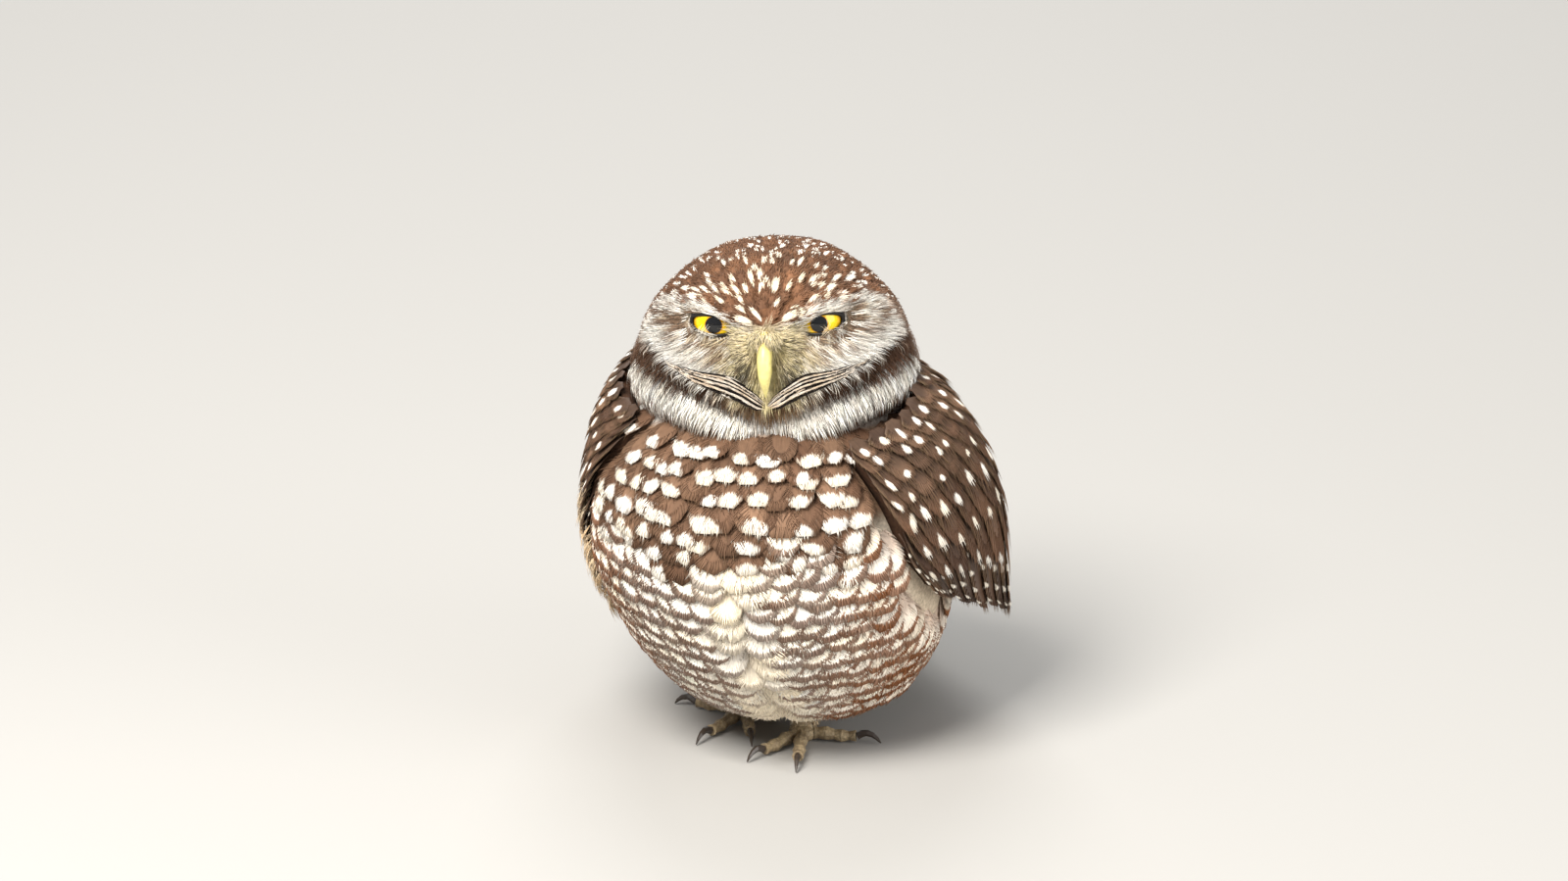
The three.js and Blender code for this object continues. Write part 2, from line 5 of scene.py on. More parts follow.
import bpy
import numpy as np
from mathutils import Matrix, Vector


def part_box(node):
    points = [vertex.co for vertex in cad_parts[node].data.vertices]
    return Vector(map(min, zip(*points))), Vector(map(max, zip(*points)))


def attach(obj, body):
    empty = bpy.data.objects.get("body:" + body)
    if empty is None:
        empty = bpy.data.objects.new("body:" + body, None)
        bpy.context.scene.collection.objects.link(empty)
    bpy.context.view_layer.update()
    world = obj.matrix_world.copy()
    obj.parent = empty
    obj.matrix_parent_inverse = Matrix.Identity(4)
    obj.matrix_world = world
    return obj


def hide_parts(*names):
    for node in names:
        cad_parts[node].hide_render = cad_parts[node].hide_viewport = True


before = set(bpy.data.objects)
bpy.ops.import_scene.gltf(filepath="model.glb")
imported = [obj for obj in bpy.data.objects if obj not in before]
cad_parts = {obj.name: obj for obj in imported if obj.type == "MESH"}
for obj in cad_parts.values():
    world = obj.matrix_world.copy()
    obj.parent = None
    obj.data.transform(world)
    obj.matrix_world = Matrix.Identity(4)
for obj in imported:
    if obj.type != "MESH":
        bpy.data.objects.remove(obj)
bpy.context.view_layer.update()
MM = 0.001
RNG = np.random.default_rng(7)

# The bird's own frame, in millimetres: it faces -Y, its left is +X, and the ground is z = 0.
# Body stations from the belly up: height, half width, front y, back y, middle x.
BODY = np.array([
    [13.5, 0, 0, 0, 2], [15, 19, -18, 20, 2.5], [20.5, 38.5, -34, 42, 4.5], [34, 49, -46, 51, 3.5],
    [52, 55.5, -55, 55, 2], [72, 58, -58.5, 55, 0.5], [92, 56, -55, 54, 0], [107, 51, -46, 49, 0],
    [119, 42, -34, 41, 0], [127, 27, -18, 32, 0], [130, 0, 6, 6, 0]], float)
# Head stations, in the head's frame.
HEAD = np.array([
    [-28, 0, -10, -10, 0], [-27, 23, -28, 16, 0], [-23.5, 36, -36.5, 27, 0], [-17, 43.5, -38.5, 34, 0],
    [-9, 44.5, -38.5, 37, 0], [0, 42, -37, 37.5, 0], [8, 38.5, -35, 36, 0], [15, 33, -32, 32, 0],
    [21.5, 25, -26, 26.5, 0], [26.3, 15.5, -17.5, 17, 0], [28.5, 0, 0, 0, 0]], float)
HEAD_CENTRE = np.array([0, 0, 134.5])
HEAD_YAW, HEAD_PITCH, HEAD_ROLL = 14, 6, -2
# The left solid eye's centre, in the head's frame. The eyes are turned outward and slanted by degrees, and
# the scene's eyeballs lie deeper and nearer the bill than the solid ones.
EYE_AT = np.array([16.8, -23.6, 8.9])
EYE_RADIUS, EYE_OUTWARD, EYE_SLANT = 8.2, 9, 6
EYE_SUNK, EYE_INWARD = 0.8, 1.1
BILL_TOP = np.array([0, -36, 9.0])  # the head's feathers sweep back and out from here
# Wing net of the left side, from the shoulder down and from the front edge back.
WING = np.array([
    [[37, -36, 111], [50, -16, 116], [45, 9, 123], [24, 27, 127]],
    [[50, -34, 94], [59, -8, 99], [56, 24, 105], [22, 49, 112]],
    [[57, -27, 73], [65, 3, 73], [63, 37, 76], [20, 62, 85]],
    [[59, -13, 57], [64.5, 17, 44], [62, 47, 34], [18, 74, 42]]], float)
SIDES = {"left": 1, "right": -1}
# How much further back each wing lies, by its side.
WING_BACK = {1: 0, -1: 5}
TAIL_ROOT, TAIL_TIP = np.array([0, 50, 48.0]), np.array([0, 99, 14.0])
FEET = {"left": (11, -5), "right": (-12, 8)}
LEG_RINGS = ((30, 15, 12), (22, 11, 7), (16, 6.5, 4), (10, 4.0, 2))  # height, radius and shift back
# How deep the skin and the feathers' roots lie under the solids.
COAT_BODY, COAT_HEAD, COAT_FACE = 3.6, 2.2, 1.2


def srgb(r, g, b):
    """A colour as the eye sees it, 0 to 255, in the render's own linear numbers."""
    c = np.array([r, g, b]) / 255
    return np.where(c <= 0.04045, c / 12.92, ((c + 0.055) / 1.055) ** 2.4)


WHITE = srgb(248, 243, 234)
CREAM = srgb(242, 226, 196)
BUFF = srgb(206, 172, 128)
GREY = srgb(168, 160, 150)
SOFT_BROWN = srgb(146, 116, 92)
BROWN = srgb(110, 80, 59)
CROWN = srgb(128, 90, 64)
RUST = srgb(132, 80, 42)
DARK = srgb(78, 55, 41)
NEARLY_BLACK = srgb(36, 27, 22)
BRISTLE = srgb(222, 208, 160)


def rotation(axis, degrees):
    a = math.radians(degrees)
    c, s = math.cos(a), math.sin(a)
    i, j = [(1, 2), (2, 0), (0, 1)][axis]
    m = np.eye(3)
    m[i, i] = m[j, j] = c
    m[i, j], m[j, i] = -s, s
    return m


HEAD_TURN = rotation(2, HEAD_YAW) @ rotation(0, -HEAD_PITCH) @ rotation(1, HEAD_ROLL)


def at_head(p):
    """Places of the head's frame in the bird's own frame."""
    return np.asarray(p, float) @ HEAD_TURN.T + HEAD_CENTRE


def headward(d):
    """Directions of the head's frame in the bird's own frame."""
    return np.asarray(d, float) @ HEAD_TURN.T


def in_head(p):
    """Places of the bird's own frame in the head's frame."""
    return (np.asarray(p, float) - HEAD_CENTRE) @ HEAD_TURN


SHIFT = np.mean([np.array(v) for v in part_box("eye_left")], 0) / MM - at_head(EYE_AT)


def to_frame(p):
    """Millimetres of the bird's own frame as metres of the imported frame."""
    return (np.asarray(p, float) + SHIFT) * MM


def lengths(v):
    return np.linalg.norm(v, axis=-1)


def vectors(*parts):
    """Vectors from their parts, each one number or one for each vector."""
    return np.stack(np.broadcast_arrays(*parts), -1)


def unit(v):
    return v / np.maximum(lengths(v)[..., None], 1e-9)


def round_angles(count):
    """Angles evenly round a circle."""
    return np.arange(count) / count * 2 * np.pi


def picked(chosen, *values):
    """The chosen rows of several arrays."""
    return [v[chosen] for v in values]


def smooth(x, low, high):
    t = np.clip((x - low) / (high - low), 0, 1)
    return t * t * (3 - 2 * t)


def bell(x, width):
    return np.exp(-((x / width) ** 2))


def mix(a, b, t):
    t = np.asarray(t)[..., None]
    return np.asarray(a) * (1 - t) + np.asarray(b) * t


def along(rows, t):
    """Catmull-Rom through the rows, for an array of t from 0 to 1."""
    t = np.asarray(t, float)
    x = np.clip(t, 0, 1) * (len(rows) - 1)
    i = np.minimum(x.astype(int), len(rows) - 2)
    f = (x - i).reshape(x.shape + (1,) * (rows.ndim - 1))
    a, b, c, d = (rows[np.clip(i + k, 0, len(rows) - 1)] for k in (-1, 0, 1, 2))
    return b + 0.5 * f * (c - a + f * (2 * a - 5 * b + 4 * c - d + f * (3 * b - a - 3 * c + d)))


def on_slice(rows, t, angle, grow):
    """Places on a surface of slices, grown outward in millimetres. Angle 0 is the middle of its front."""
    row = along(rows, t)
    row[..., 0] += grow * (2 * np.asarray(t) - 1)
    z, w, front, back, x = np.moveaxis(row, -1, 0)
    angle = np.asarray(angle, float)
    middle = (front + back) / 2
    reach = np.where(np.cos(angle) > 0, middle - front, back - middle) + grow
    return np.stack([x + (w + grow) * np.sin(angle), middle - reach * np.cos(angle), z], -1)


def face_relief(x, z):
    """How far the face stands out of the plain slices: brows, eye hollows, muzzle, cheeks and lower edge."""
    side = np.abs(x)
    brow = 9 + 0.27 * side
    rim = -16 + 12 * (side / 27) ** 1.3
    return (
        3.6 * bell(z - brow - 1.5, 4) * bell(np.maximum(side - 24, 0), 7)
        - 3 * bell(side - 17, 8) * bell(z - 5, 5)
        + 2.6 * bell(x, 6.5) * bell(z - 1, 9)
        + 1.6 * bell(side - 21, 10) * bell(z + 5, 6)
        + 1.6 * bell(z - rim, 3) * bell(np.maximum(side - 26, 0), 6)
        - 1.4 * bell(z - rim + 6.5, 3.4) * bell(np.maximum(side - 34, 0), 6)
    )


def body_point(t, angle, grow=0.0):
    return on_slice(BODY, t, angle, grow)


def head_point(t, angle, grow=0.0):
    p = on_slice(HEAD, t, angle, grow)
    p[..., 1] -= smooth(np.cos(angle), 0.1, 0.6) * face_relief(p[..., 0], p[..., 2])
    return at_head(p)


def normals_of(point, t, angle):
    """Outward normals of a surface of slices."""
    step = 0.004
    up = point(np.clip(t + step, 0, 1), angle) - point(np.clip(t - step, 0, 1), angle)
    across = point(t, angle + step) - point(t, angle - step)
    return unit(np.cross(across, up))


def inside(rows, p, margin=0.0):
    """True where points lie inside the plain slices by more than the margin."""
    t = np.linspace(0, 1, 200)
    table = along(rows, t)
    order = np.argsort(table[:, 0])
    z = p[..., 2]
    w, front, back, x = (np.interp(z, table[order, 0], table[order, k]) for k in (1, 2, 3, 4))
    middle = (front + back) / 2
    reach = np.where(p[..., 1] < middle, middle - front, back - middle)
    within = (z > rows[0, 0]) & (z < rows[-1, 0])
    w, reach = np.maximum(w - margin, 0.1), np.maximum(reach - margin, 0.1)
    return within & (((p[..., 0] - x) / w) ** 2 + ((p[..., 1] - middle) / reach) ** 2 < 1)


NET_STEPS = 48
EVEN = np.linspace(0, 1, NET_STEPS + 1)
WING_NET = along(np.moveaxis(along(WING, EVEN), 1, 0), EVEN)


def on_net(u, v):
    """Places between the points of the fine wing net, for u and v from 0 to 1."""
    x, y = u * NET_STEPS, v * NET_STEPS
    i, j = (np.minimum(q.astype(int), NET_STEPS - 1) for q in (x, y))
    f, g = (x - i)[..., None], (y - j)[..., None]
    near = WING_NET[j, i] * (1 - f) + WING_NET[j, i + 1] * f
    return near * (1 - g) + (WING_NET[j + 1, i] * (1 - f) + WING_NET[j + 1, i + 1] * f) * g


def wing_point(side, u, v):
    """A place on a wing, going on straight beyond the net's edges."""
    u, v = np.broadcast_arrays(np.asarray(u, float), np.asarray(v, float))
    uc, vc = np.clip(u, 0, 1), np.clip(v, 0, 1)
    step = 0.04
    u0, v0 = np.clip(uc - step, 0, 1 - 2 * step), np.clip(vc - step, 0, 1 - 2 * step)
    slope_u = (on_net(u0 + 2 * step, vc) - on_net(u0, vc)) / (2 * step)
    slope_v = (on_net(uc, v0 + 2 * step) - on_net(uc, v0)) / (2 * step)
    p = on_net(uc, vc) + slope_u * (u - uc)[..., None] + slope_v * (v - vc)[..., None]
    p = p * [side, 1, 1]
    p[..., 1] += WING_BACK[side]
    return p


def wing_frame(side, u, v):
    """A place on a wing, the direction down it and the direction out of it."""
    step = 0.02
    down = unit(wing_point(side, u + step, v) - wing_point(side, u - step, v))
    over = unit(wing_point(side, u, v + step) - wing_point(side, u, v - step))
    return wing_point(side, u, v), down, unit(np.cross(down, over)) * side


# Meshes and materials.


FLIPPED = [0, 3, 2, 1]


def net_faces(rows, columns, rows_close=False, columns_close=False):
    """Faces between a net's points, counted row after row. The net may close on itself either way."""
    last_row, last_column = rows - (not rows_close), columns - (not columns_close)
    i, j = np.meshgrid(np.arange(last_row), np.arange(last_column), indexing="ij")
    m, k = (i + 1) % rows, (j + 1) % columns
    return np.stack([i * columns + j, i * columns + k, m * columns + k, m * columns + j], -1).reshape(-1, 4)


def rim_faces(rows, columns):
    """Faces between the edges of two nets. The second net's points follow those of the first."""
    ring = [i * columns for i in range(rows - 1, 0, -1)] + list(range(columns - 1))
    ring += [i * columns + columns - 1 for i in range(rows - 1)]
    ring += [(rows - 1) * columns + j for j in range(columns - 1, 0, -1)]
    second = rows * columns
    return np.array([[b, a, a + second, b + second] for a, b in zip(ring, ring[1:] + ring[:1])])


def linked(name, data):
    """A new object of the scene."""
    made = bpy.data.objects.new(name, data)
    bpy.context.scene.collection.objects.link(made)
    return made


def new_mesh(name, verts, faces, colours=None, bake=None):
    """A mesh object from arrays in millimetres, with one array of faces for each number of corners.
    colours gives each named attribute four numbers at every corner."""
    groups = faces if isinstance(faces, (list, tuple)) else [faces]
    groups = [np.asarray(g, np.int32) for g in groups if len(g)]
    mesh = bpy.data.meshes.new(name)
    mesh.vertices.add(len(verts))
    mesh.vertices.foreach_set("co", to_frame(verts).astype(np.float32).ravel())
    loops = np.concatenate([g.ravel() for g in groups])
    counts = np.concatenate([np.full(len(g), g.shape[1]) for g in groups])
    mesh.loops.add(len(loops))
    mesh.loops.foreach_set("vertex_index", loops)
    mesh.polygons.add(len(counts))
    mesh.polygons.foreach_set("loop_start", np.concatenate([[0], np.cumsum(counts)[:-1]]).astype(np.int32))
    mesh.polygons.foreach_set("loop_total", counts.astype(np.int32))
    mesh.polygons.foreach_set("use_smooth", np.full(len(counts), True))
    mesh.update()
    for key, values in (colours or {}).items():
        layer = mesh.attributes.new(key, "FLOAT_COLOR", "POINT")
        layer.data.foreach_set("color", values.astype(np.float32).ravel())
    if bake is not None:
        uv = mesh.uv_layers.new(name="OFBake")
        uv.data.foreach_set("uv", bake[loops].astype(np.float32).ravel())
    return linked(name, mesh)


def opaque(colour):
    return np.concatenate([np.clip(colour, 0, 1), np.ones(colour.shape[:-1] + (1,))], -1)


def finish_piece(piece, material, slot, *replaced):
    piece.data.materials.clear()
    piece.data.materials.append(material)
    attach(piece, "root")
    if replaced:
        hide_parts(*replaced)
    return piece


class Nodes:
    """Short ways to wire a material."""

    def __init__(self, name, roughness=0.6, specular=0.3):
        self.material = bpy.data.materials.new(name)
        self.material.use_nodes = True
        self.tree = self.material.node_tree
        self.shader = self.tree.nodes["Principled BSDF"]
        self.shader.inputs["Roughness"].default_value = roughness
        self.shader.inputs["Specular IOR Level"].default_value = specular

    def add(self, kind, **values):
        node = self.tree.nodes.new(kind)
        for key, value in values.items():
            if key in node.inputs:
                node.inputs[key].default_value = value
            else:
                setattr(node, key, value)
        return node

    def link(self, a, b):
        self.tree.links.new(a, b)

    def fill(self, node, values):
        for socket, value in zip(node.inputs, values):
            if isinstance(value, (int, float)):
                socket.default_value = value
            else:
                self.link(value, socket)
        return node.outputs[0]

    def attribute(self, name):
        """The four numbers of a named attribute, and its first three as a colour."""
        source = self.add("ShaderNodeAttribute", attribute_name=name)
        parts = self.add("ShaderNodeSeparateXYZ")
        self.link(source.outputs["Vector"], parts.inputs[0])
        return [*parts.outputs, source.outputs["Alpha"]], source.outputs["Color"]

    def maths(self, operation, *values):
        return self.fill(self.add("ShaderNodeMath", operation=operation), values)

    def combine(self, *values):
        return self.fill(self.add("ShaderNodeCombineXYZ"), values)

    def noise(self, vector, scale, detail=2.0):
        node = self.add("ShaderNodeTexNoise", Scale=scale, Detail=detail)
        self.link(vector, node.inputs["Vector"])
        return node.outputs["Fac"]

    def spread(self, value, *limits):
        """A value moved from one range to another: from low and high to low and high."""
        node = self.add("ShaderNodeMapRange")
        for k, x in enumerate(limits):
            node.inputs[k + 1].default_value = x
        self.link(value, node.inputs[0])
        return node.outputs[0]

    def blend(self, share, a, b):
        node = self.add("ShaderNodeMix", data_type="RGBA")
        self.link(share, node.inputs[0])
        self.link(a, node.inputs[6])
        self.link(b, node.inputs[7])
        return node.outputs[2]

    def paint(self, colour, factor):
        """Gives the material a colour times a factor."""
        node = self.add("ShaderNodeVectorMath", operation="SCALE")
        self.link(colour, node.inputs[0])
        self.link(factor, node.inputs["Scale"])
        self.link(node.outputs[0], self.shader.inputs["Base Color"])

    def ramp(self, value, stops):
        node = self.add("ShaderNodeValToRGB")
        bar = node.color_ramp
        while len(bar.elements) < len(stops):
            bar.elements.new(0.5)
        for element, (place, colour) in zip(bar.elements, stops):
            element.position = place
            element.color = (*colour, 1)
        self.link(value, node.inputs[0])
        return node.outputs[0]

    def bump(self, height, strength, distance):
        node = self.add("ShaderNodeBump", Strength=strength, Distance=distance)
        self.link(height, node.inputs["Height"])
        self.link(node.outputs[0], self.shader.inputs["Normal"])

    def place(self):
        return self.add("ShaderNodeTexCoord").outputs["Object"]


NOISE_MIDDLE = (0.3, 0.7)  # the part of a noise's range that most of it lies in


def plume_material(name, contrast, roughness=0.75, specular=0.2, period=0.0):
    """Feather vanes with fine streaks along the barbs, which slant from the shaft towards the tip.
    The attribute plume holds each corner's distance across from the shaft and in from the edge of the tip,
    both in millimetres, and a number of the feather's own. The attribute spot places one oval of the colour
    in mark on each feather: its centre and half sizes. With a period, ovals repeat along both edges."""
    n = Nodes(name, roughness, specular)
    (across, inward, draw, _), _ = n.attribute("plume")
    (at_x, at_e, wide, tall), _ = n.attribute("spot")
    (_, _, _, strength), mark = n.attribute("mark")
    _, tint = n.attribute("tint")
    slant = n.maths("ADD", inward, n.maths("MULTIPLY", n.maths("ABSOLUTE", across), 0.8))
    along_barbs = n.combine(n.maths("MULTIPLY", slant, 0.25), n.maths("MULTIPLY", across, 3.4), draw)
    barbs = n.noise(along_barbs, 1.0, 3.0)
    patches = n.noise(n.combine(across, inward, draw), 0.5, 2.0)
    if period:
        beyond = n.maths("WRAP", n.maths("SUBTRACT", inward, at_e), period / 2, -period / 2)
        sideways = n.maths("SUBTRACT", n.maths("ABSOLUTE", across), at_x)
    else:
        beyond, sideways = n.maths("SUBTRACT", inward, at_e), n.maths("SUBTRACT", across, at_x)
    upward = n.maths("DIVIDE", beyond, tall)
    level = n.maths("MINIMUM", n.maths("MAXIMUM", upward, -1.0), 1.0)
    narrowing = n.maths("SUBTRACT", 1.0, n.maths("MULTIPLY", level, 0.35))
    away = n.combine(n.maths("DIVIDE", sideways, n.maths("MULTIPLY", wide, narrowing)), upward, 0.0)
    size = n.add("ShaderNodeVectorMath", operation="LENGTH")
    n.link(away, size.inputs[0])
    ragged = n.maths("ADD", size.outputs["Value"], n.spread(barbs, *NOISE_MIDDLE, -0.3, 0.3))
    cover = n.maths("MULTIPLY", n.spread(ragged, 0.78, 1.15, 1.0, 0.0), strength)
    shaft = n.spread(n.maths("ABSOLUTE", across), 0.0, 0.28, 0.78, 1.0)
    streaks = n.spread(barbs, *NOISE_MIDDLE, 1 - contrast, 1 + contrast)
    tone = n.maths("MULTIPLY", streaks, n.spread(patches, *NOISE_MIDDLE, 0.9, 1.08))
    tone = n.maths("MULTIPLY", tone, shaft)
    n.paint(n.blend(cover, tint, mark), tone)
    n.bump(barbs, 0.4, 0.0002)
    return n.material


def skin_material():
    """The skin under the coat, in the coat's colours."""
    n = Nodes("skin_down", 0.85, 0.1)
    down = n.noise(n.place(), 900, 4.0)
    n.paint(n.attribute("tint")[1], n.spread(down, *NOISE_MIDDLE, 0.6, 1.0))
    n.bump(down, 0.8, 0.0004)
    return n.material


# Feather shapes. Across runs from -1 to 1 and along from 0 at the root to 1 at the tip.


def tip_edge(across, blunt, taper):
    """How far along a feather its rounded tip ends, at a share of the half width."""
    return taper + (1 - taper) * (1 - np.minimum(np.abs(across), 0.97) ** 2) ** (1 / blunt)


def vane_outline(s, blunt, taper):
    """Half the width of a feather at a share of its length. Its tip narrows from the share called taper."""
    rounding = np.clip((s - taper) / (1 - taper), 0, 1) ** blunt
    return np.sqrt(np.clip(1 - rounding, 0, 1)) * (0.35 + 0.65 * smooth(s, 0, 0.4))


VANE_FILLS = 0.9  # the share of the outline that the closed vane fills, with barbs round it
# The last barbs' angle from the tip, in radians, and the angle from which the barbs keep to the vane's edge.
BARBS_TO, BARBS_FRONT = 2.1, 1.2


class Shape:
    """A feather as a closed thin vane with separate barbs round its edge and tip, or as barbs alone.
    The vane has rows of points along its share core and columns across. The barbs start no lower than at
    start, stand out by reach and are thick at their roots by barb_width."""

    def __init__(self, rows, columns, barbs, blunt=2.2, reach=0.22, core=0.88, start=0.3, thick=0.22,
                 barb_width=0.06, taper=0.5):
        points, quads, tris = [], [], []
        self.blunt, self.taper = blunt, taper
        if rows:
            for height in (0.0, -thick):
                for s in np.linspace(0, core, rows):
                    for a in np.linspace(-1, 1, columns):
                        points.append((a * vane_outline(s, blunt, taper) * VANE_FILLS, s, height, 0, 0.0))
            top = net_faces(rows, columns)
            both = np.stack([top, top[:, FLIPPED] + rows * columns], 1).reshape(-1, 4)
            quads += [*both, *rim_faces(rows, columns)]
        for k in range(barbs):
            angle = ((k + 0.5) / barbs * 2 - 1) * BARBS_TO
            edge_a = math.sin(angle)
            edge_s = max(1 - (1 - taper) * (1 - math.cos(angle)), start)
            if abs(angle) > BARBS_FRONT:
                edge_a *= float(vane_outline(np.array(min(edge_s, 0.93)), blunt, taper))
            root = edge_a * 0.55, edge_s - 0.48 * (1 - taper)
            tip = edge_a * (1 + reach), edge_s + reach * (0.35 + 0.65 * max(math.cos(angle), 0))
            middle = (root[0] + tip[0]) / 2 + 0.06 * edge_a, (root[1] + tip[1]) / 2
            base = len(points)
            for p, (pa, ps) in enumerate((root, middle)):
                half = barb_width * (1 - 0.35 * p)
                for da, dh in ((-half, 0.0), (half, 0.0), (0.0, 0.35)):
                    points.append((pa + da, ps, dh * thick * 2 + 0.05, k, 0.5 * p))
            points.append((*tip, 0.0, k, 1.0))
            tris.append([base, base + 1, base + 2])
            for i, j in ((0, 1), (1, 2), (2, 0)):
                quads.append([base + j, base + i, base + 3 + i, base + 3 + j])
                tris.append([base + 3 + j, base + 3 + i, base + 6])
        self.across, self.length, self.rise, strand, self.loose = np.array(points).T
        self.strand = strand.astype(int)
        self.barbs = max(barbs, 1)
        self.quads = np.array(quads, int).reshape(-1, 4)
        self.tris = np.array(tris, int).reshape(-1, 3)


TUFT = {"reach": 0.4, "barb_width": 0.15, "thick": 0.12, "start": 0.62, "taper": -0.6}


def marks(count, colour, strength, x, inward, wide, tall):
    """One oval for each feather: its colour and strength, its centre and half sizes in millimetres."""
    colour = np.broadcast_to(colour, (count, 3))
    parts = (np.broadcast_to(np.asarray(v, float), (count,)) for v in (strength, x, inward, wide, tall))
    strength, *oval = parts
    return np.concatenate([colour, strength[:, None]], 1), np.stack(oval, 1)


# How much the ends of barbs stray along the feather and out of it, and how much colours vary from feather
# to feather and from barb to barb.
STRAY_ALONG, STRAY_OUT = 0.045, 2.2
VARY_FEATHERS, VARY_BARBS = 0.09, 0.08
PATCH = 0.003  # the width of a feather's own patch on the map


def feathers(name, shape, lay, half, length, tint, bake, material, marked=None, slot="plumage", replaced=(),
             ruffle=0.05, turned=False, straight=False):
    """Joined feathers. lay(x, s) gives places and outward directions for distances across and shares along;
    tint(a, s, draw) gives colours, with a the distance across as a share of the half width. The marks of a
    straight feather are placed from its tip, and those of the others from the rounded edge of the tip."""
    half, length = np.broadcast_arrays(half, length)
    count = len(half)
    rng = np.random.default_rng(count + 31 * len(name))
    shake = rng.normal(0, 1, (count, shape.barbs, 3))[:, shape.strand] * shape.loose[None, :, None]
    s = shape.length[None] + STRAY_ALONG * np.minimum(1, 16 / length)[:, None] * shake[..., 0]
    a = shape.across[None] + ruffle * shake[..., 1]
    x = a * half[:, None]
    points, out = lay(x, s)
    height = shape.rise[None] + STRAY_OUT * ruffle * np.abs(shake[..., 2])
    verts = points + out * height[..., None]
    draw = rng.random((count, 1))
    edge = 1.0 if straight else tip_edge(a, shape.blunt, shape.taper)
    inward = (edge - s) * length[:, None]
    colour = tint(a, s, draw) * (1 + VARY_FEATHERS * rng.normal(0, 1, (count, 1, 1)))
    colour = colour * (1 + VARY_BARBS * shake[..., :1])
    corners = len(shape.length)
    mark, spot = (np.broadcast_to(v[:, None], (count, corners, 4))
                  for v in marked or (np.zeros((count, 4)), np.ones((count, 4))))
    plume = vectors(x, inward, draw * 50, 1.0)
    bands = {"tint": opaque(colour), "plume": plume, "mark": mark, "spot": spot}
    bands = {key: values.reshape(-1, 4) for key, values in bands.items()}
    patch = bake[:, None] + PATCH * vectors(np.clip(a, -1, 1) / 2, np.clip(s, 0, 1) - 0.5)
    step = np.arange(count)[:, None, None] * corners
    faces = [(shape.quads[None] + step).reshape(-1, 4), (shape.tris[None] + step).reshape(-1, 3)]
    if turned:
        faces = [f[:, ::-1] for f in faces]
    piece = new_mesh(name, verts.reshape(-1, 3), faces, bands, patch.reshape(-1, 2))
    return finish_piece(piece, material, slot, *replaced)


def lying(root, direction, out, length, lift, curve, rng):
    """Lays feathers on the skin, rising from the root to the tip and bent down over the body's curve."""
    direction = unit(direction - out * (direction * out).sum(-1, keepdims=True))
    turn = rng.normal(0, 0.09, (len(root), 1))
    across = np.cross(direction, out)
    ahead = direction * np.cos(turn) + across * np.sin(turn)
    across = across * np.cos(turn) - direction * np.sin(turn)
    low, high = (np.broadcast_to(np.asarray(v, float), (len(root),))[:, None] for v in lift)

    def lay(x, s):
        y = s * length[:, None]
        height = low + (high - low) * smooth(s, -0.1, 0.9) - (x ** 2 + y ** 2) / (2 * curve)
        points = root[:, None] + ahead[:, None] * y[..., None] + across[:, None] * x[..., None]
        return points + out[:, None] * height[..., None], np.broadcast_to(out[:, None], points.shape)

    return lay


def curving(curves, outs, droop=0.03):
    """Lays feathers along quadratic curves, each given by its start, middle and end."""

    def lay(x, s):
        p0, p1, p2 = (curves[:, k][:, None] for k in range(3))
        t = s[..., None]
        p = p0 * (1 - t) ** 2 + 2 * p1 * t * (1 - t) + p2 * t ** 2
        tangent = unit(2 * (p1 - p0) * (1 - t) + 2 * (p2 - p1) * t)
        out = unit(outs[:, 0][:, None] * (1 - t) + outs[:, 1][:, None] * t)
        across = unit(np.cross(tangent, out))
        return p + across * x[..., None] - out * (droop * x ** 2)[..., None], out

    return lay


def distances(points):
    """How far along a line of points each of them lies."""
    return np.concatenate([[0], np.cumsum(lengths(np.diff(points, axis=0)))])


def on_rings(point, spacing_along, spacing_across, t_low, t_high, jitter=0.25):
    """Places spread in staggered rings over a surface of slices, as (t, angle)."""
    t = np.linspace(t_low, t_high, 400)
    steps = [lengths(np.diff(point(t, np.full_like(t, turn)), axis=0)) for turn in (0.0, 1.5)]
    length = np.concatenate([[0], np.cumsum(sum(steps) / 2)])
    rows = max(int(length[-1] / spacing_along), 1)
    ring = np.linspace(0, 2 * np.pi, 90)
    found = []
    for k in range(rows):
        tk = np.interp((k + 0.5) / rows * length[-1], length, t)
        arc = distances(point(np.full_like(ring, tk), ring))
        number = max(int(arc[-1] / spacing_across), 3)
        share = (np.arange(number) + 0.5 * (k % 2)) / number
        angle = np.interp(share * arc[-1], arc, ring) + RNG.normal(0, jitter, number) * 2 * np.pi / number
        dt = (np.interp((k + 1) / rows * length[-1], length, t) - tk) * 2
        level = np.clip(tk + RNG.normal(0, jitter * 0.5, number) * dt, 0.002, 0.998)
        found.append(np.stack([level, angle], 1))
    return np.concatenate(found).T


def skin_map(t, angle, low, high):
    """A place on an unwrap of the skin: round it, and up it between two heights of the map."""
    return vectors(0.02 + 0.96 * ((angle / (2 * np.pi) + 0.5) % 1), low + (high - low) * t)


# The heights of the map that the body, the head and the legs take up.
BODY_MAP, HEAD_MAP, LEG_MAP = (0.02, 0.54), (0.62, 0.98), (0.56, 0.60)


# Markings of the skin, which the feathers share.


def facing(p):
    """How far round the body a place is from the breast, in degrees, and towards which side."""
    return np.degrees(np.arctan2(p[..., 0] - 1.5, -p[..., 1]))


# The pale brow's height at distances from the middle of the face.
BROW_SIDE = (0, 4, 8, 12.5, 16.5, 19, 23, 28, 34, 42)
BROW_HEIGHT = (8.3, 8.5, 9.4, 11.8, 13.4, 14.0, 14.3, 14.1, 12.4, 8)


